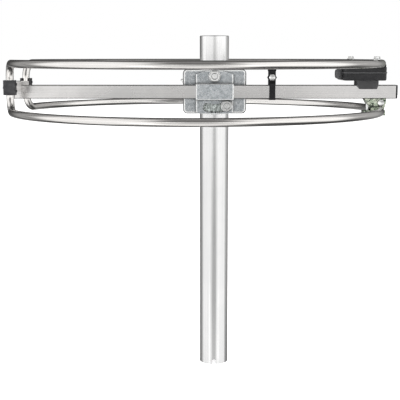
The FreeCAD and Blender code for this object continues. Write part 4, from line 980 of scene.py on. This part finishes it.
def make_fasteners():
    for name in ("pivot", "lock"):
        make_carriage_bolt(f"{name}_bolt")
        make_washer(f"{name}_washer", FRONT, 4.2 * MM)
        make_nut(f"{name}_nut", FRONT, 13 * MM, 4.0 * MM)
    make_studs()
    for name in ("front", "back"):
        make_hex_bolt(f"splice_bolt_{name}", -UP, 7 * MM, 3 * MM, M4,
                      washer=1 * MM, washer_radius=5 * MM)
        make_screws(f"terminal_screw_{name}", -UP, 2.5 * MM, TERMINAL)
        make_screws(f"gap_screw_{name}", LEFT, 2.4 * MM, M3)
    make_screws("spreader_screw", UP, 3 * MM, M3)
    low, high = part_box("lid_screws")
    head_radius = 3 * MM
    spots = [Vector(((low.x + high.x) / 2, y, low.z))
             for y in (low.y + head_radius, high.y - head_radius)]
    make_screws("lid_screws", UP, head_radius, M3, spots)
    make_hex_bolt("through_bolt", UP, 10 * MM, 4 * MM, M6)
    make_hex_bolt("pinch_bolt", BACK, 8 * MM, 2.8 * MM, M4)
    make_nut("pinch_nut", BACK, 8 * MM, 2 * MM)
    make_nut("through_nut", UP, 10 * MM, 3 * MM)
    make_washer("through_washer", UP, 3.1 * MM)
    make_hex_bolt("clip_bolt", BACK, 8 * MM, 3.2 * MM, M5)
    make_nut("clip_nut", BACK, 8 * MM, 2.5 * MM)


def make_wing_nut(side):
    """Cast wing nut: the CAD shape remeshed and relaxed, so hub and ears run into each other."""
    node = f"wing_nut_{side}"
    piece = refined(node, edge=0)
    piece.modifiers.clear()
    remesh = piece.modifiers.new("cast", "REMESH")
    remesh.mode = "VOXEL"
    remesh.voxel_size = 0.32 * MM
    soften = piece.modifiers.new("soften", "SMOOTH")
    soften.factor = 0.5
    soften.iterations = 5
    bpy.context.view_layer.update()
    evaluated = piece.evaluated_get(bpy.context.evaluated_depsgraph_get())
    cast = bpy.data.meshes.new_from_object(evaluated)
    piece.modifiers.clear()
    piece.data = cast
    cast.polygons.foreach_set("use_smooth", [True] * len(cast.polygons))


# --- Feed box, clip and other mouldings ---------------------------------------------------

def make_gland():
    """Ribbed clamping nut with a rounded mouth, open for the cable."""
    origin, length = seat("gland_nut", LEFT)
    low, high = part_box("gland_nut")
    outer = (high.z - low.z) / 2
    mouth = 3.4 * MM
    bore = 4.55 * MM
    ribs = 18
    matrix = stand(origin, LEFT)
    lip = 0.9 * MM
    # Radius, height, and how much of the ribs' depth there is.
    profile = [(bore, 0, 0), (outer - 0.3 * MM, 0, 1), (outer, 0.4 * MM, 1),
               (outer, length * 0.72, 1), (outer - 0.5 * MM, length * 0.8, 0.4),
               (outer - 1.1 * MM, length * 0.95, 0),
               (outer - 1.7 * MM, length, 0), (mouth + 0.3 * MM, length, 0), (mouth, length - 0.3 * MM, 0),
               (mouth, length - lip, 0), (bore, length - lip, 0)]
    bm = bmesh.new()
    rings = []
    for radius, height, ribbed in profile:
        ring = []
        for turn in turns(ribs * 8):
            groove = 0.45 * MM * ribbed * (0.5 - 0.5 * math.cos(turn * ribs)) ** 1.5
            ring.append(bm.verts.new(polar(matrix, radius - groove, turn, height)))
        rings.append(ring)
    for first, second in zip(rings, rings[1:] + rings[:1]):
        bridge(bm, first, second)
    stand_in(finish_mesh(bm, "gland_nut_ribbed", 45), "gland_nut", finish="grey_plastic_and_highlight")


GRIP_ARC = (-27.0, 23.0)     # degrees from straight below the pivot


def make_grip_field():
    """Ridges pressed into the plate about the pivot, behind the bracket's slot."""
    pivot = middle("pivot_bolt")
    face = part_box("clamp_plate")[0].y
    crest, sunk = 0.15 * MM, 0.3 * MM
    first, last = GRIP_ARC
    steps = round((last - first) / GRIP_RIDGE * 4)
    bm = bmesh.new()
    rows = []
    for step in range(steps + 1):
        turn = math.radians(first + (last - first) * step / steps)
        height = crest * (0.15 + 0.85 * abs(step % 4 - 2) / 2)
        row = []
        for reach, proud in ((37.2, -sunk), (37.6, 0.3 * height), (38.2, height), (48.4, height),
                             (49.0, 0.3 * height), (49.4, -sunk)):
            row.append(bm.verts.new((pivot.x + reach * MM * math.sin(turn), face - proud,
                                     pivot.z - reach * MM * math.cos(turn))))
        rows.append(row)
    for before, after in zip(rows, rows[1:]):
        bridge(bm, before, after)
    bm.faces.new(rows[0])
    bm.faces.new(rows[-1])
    dress(finish_mesh(bm, "plate_grip_field", 12), "galvanised_steel", "clamp", finish="grip_teeth")


def make_lid_rim():
    """Moulded bead round the box where lid and base meet, in lighter plastic as a painted highlight along
    the seam.
    """
    low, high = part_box("feed_box_lid")
    base_low, base_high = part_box("feed_box_base")
    corner, proud, sunk, half = 5 * MM, 0.8 * MM, 0.4 * MM, 0.8 * MM
    steps = 8
    centre = middle("feed_box_base")
    half_x, half_y = (base_high.x - base_low.x) / 2, (base_high.y - base_low.y) / 2
    bm = bmesh.new()
    profile = [(-sunk, -half), (proud * 0.6, -half), (proud, -half * 0.5), (proud, half * 0.5),
               (proud * 0.6, half), (-sunk, half)]
    rings = []
    for grow, rise in profile:
        ring = []
        for quarter in range(4):
            sign_x = 1 if quarter in (0, 3) else -1
            sign_y = 1 if quarter in (0, 1) else -1
            for step in range(steps + 1):
                turn = math.radians(90 * quarter + 90 * step / steps)
                ring.append(bm.verts.new((
                    centre.x + sign_x * (half_x - corner) + (corner + grow) * math.cos(turn),
                    centre.y + sign_y * (half_y - corner) + (corner + grow) * math.sin(turn),
                    low.z + rise)))
        rings.append(ring)
    for before, after in zip(rings, rings[1:] + rings[:1]):
        bridge(bm, before, after)
    bead = finish_mesh(bm, "lid_rim_bead")
    dress(bead, "black_plastic", node_body["feed_box_lid"], finish="grey_plastic_and_highlight")


REFINED = {                  # node: how far its edges are broken
    "mast_tube": 0.3, "clamp_plate": 0.35, "clamp_jaw": 0.4, "tilt_bracket": 0.6,
    "boom_tube": 0.3, "boom_cap_left": 0.6, "boom_cap_right": 0.6,
    "spreader_bar": 0.5, "gap_block_front": 0.6, "gap_block_back": 0.6,
    "feed_box_base": 0.5, "feed_box_lid": 0.7, "box_saddle": 0.5,
    "ring_saddle": 0.5, "ring_strap": 0.4, "cable_clip": 0.4,
    "gland_stem": 0.2, "lid_inserts": 0.2, "balun_board": 0.1, "balun_core": 0.4,
    "terminal_lug_front": 0.15, "terminal_lug_back": 0.15,
    "tube_insert_front": 0.2, "tube_insert_back": 0.2, "lower_joint_pin": 0.3,
}


def on_boom_corner(first, last):
    """The boom's four long outer edges."""
    low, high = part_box("boom_tube")
    centre = middle("boom_tube")
    half = (high.z - low.z) / 2 - 0.1 * MM
    outside = all(abs(end.y - centre.y) > half and abs(end.z - centre.z) > half for end in (first, last))
    return outside and abs(first.x - last.x) > 20 * MM


def on_mast_top(first, last):
    """The outer edge of the mast's upper end."""
    low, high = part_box("mast_tube")
    centre = middle("mast_tube")
    outer = (high.x - low.x) / 2 - 0.3 * MM
    return all(end.z > high.z - 0.1 * MM and math.hypot(end.x - centre.x, end.y - centre.y) > outer
               for end in (first, last))


def on_band_bend(first, last):
    """The bends between the bracket's front and its flanges."""
    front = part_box("tilt_bracket")[0].y + 0.3 * MM
    return max(first.y, last.y) < front and abs(first.x - last.x) > 20 * MM


def on_box_foot(first, last):
    """The outline of the feed box's floor, its round corners included."""
    low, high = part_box("feed_box_base")
    centre = middle("feed_box_base")
    half = (high - low) / 2
    corner = 5.2 * MM
    return all(end.z < low.z + 0.1 * MM
               and (abs(end.x - centre.x) > half.x - corner or abs(end.y - centre.y) > half.y - corner)
               for end in (first, last))


WIDE_EDGES = {               # node: which edges are broken further, and how far in mm
    "boom_tube": (on_boom_corner, 1.0), "mast_tube": (on_mast_top, 0.8),
    "tilt_bracket": (on_band_bend, 1.7), "feed_box_base": (on_box_foot, 1.9),
}
SPECIAL_FINISH = {
    "tilt_bracket": "galvanised_bracket", "box_saddle": "grey_plastic_and_highlight",
    "feed_box_base": "box_plastic", "feed_box_lid": "box_plastic", "ring_saddle": "cast_zinc",
    "ring_strap": "cast_zinc",
}


# --- Scene --------------------------------------------------------------------------------

bpy.context.scene.view_settings.view_transform = "Standard"
make_camera()
make_studio()
make_floor()
for name, lamp in LAMPS.items():
    area_light(name, *lamp)
make_ring()
make_fasteners()
for side in ("left", "right"):
    make_wing_nut(side)
make_gland()
make_grip_field()
make_lid_rim()
for node, edge in REFINED.items():
    test, wide_edge = WIDE_EDGES.get(node, (None, 0.0))
    refined(node, edge * MM, finish=SPECIAL_FINISH.get(node), wide=test, wide_edge=wide_edge * MM)
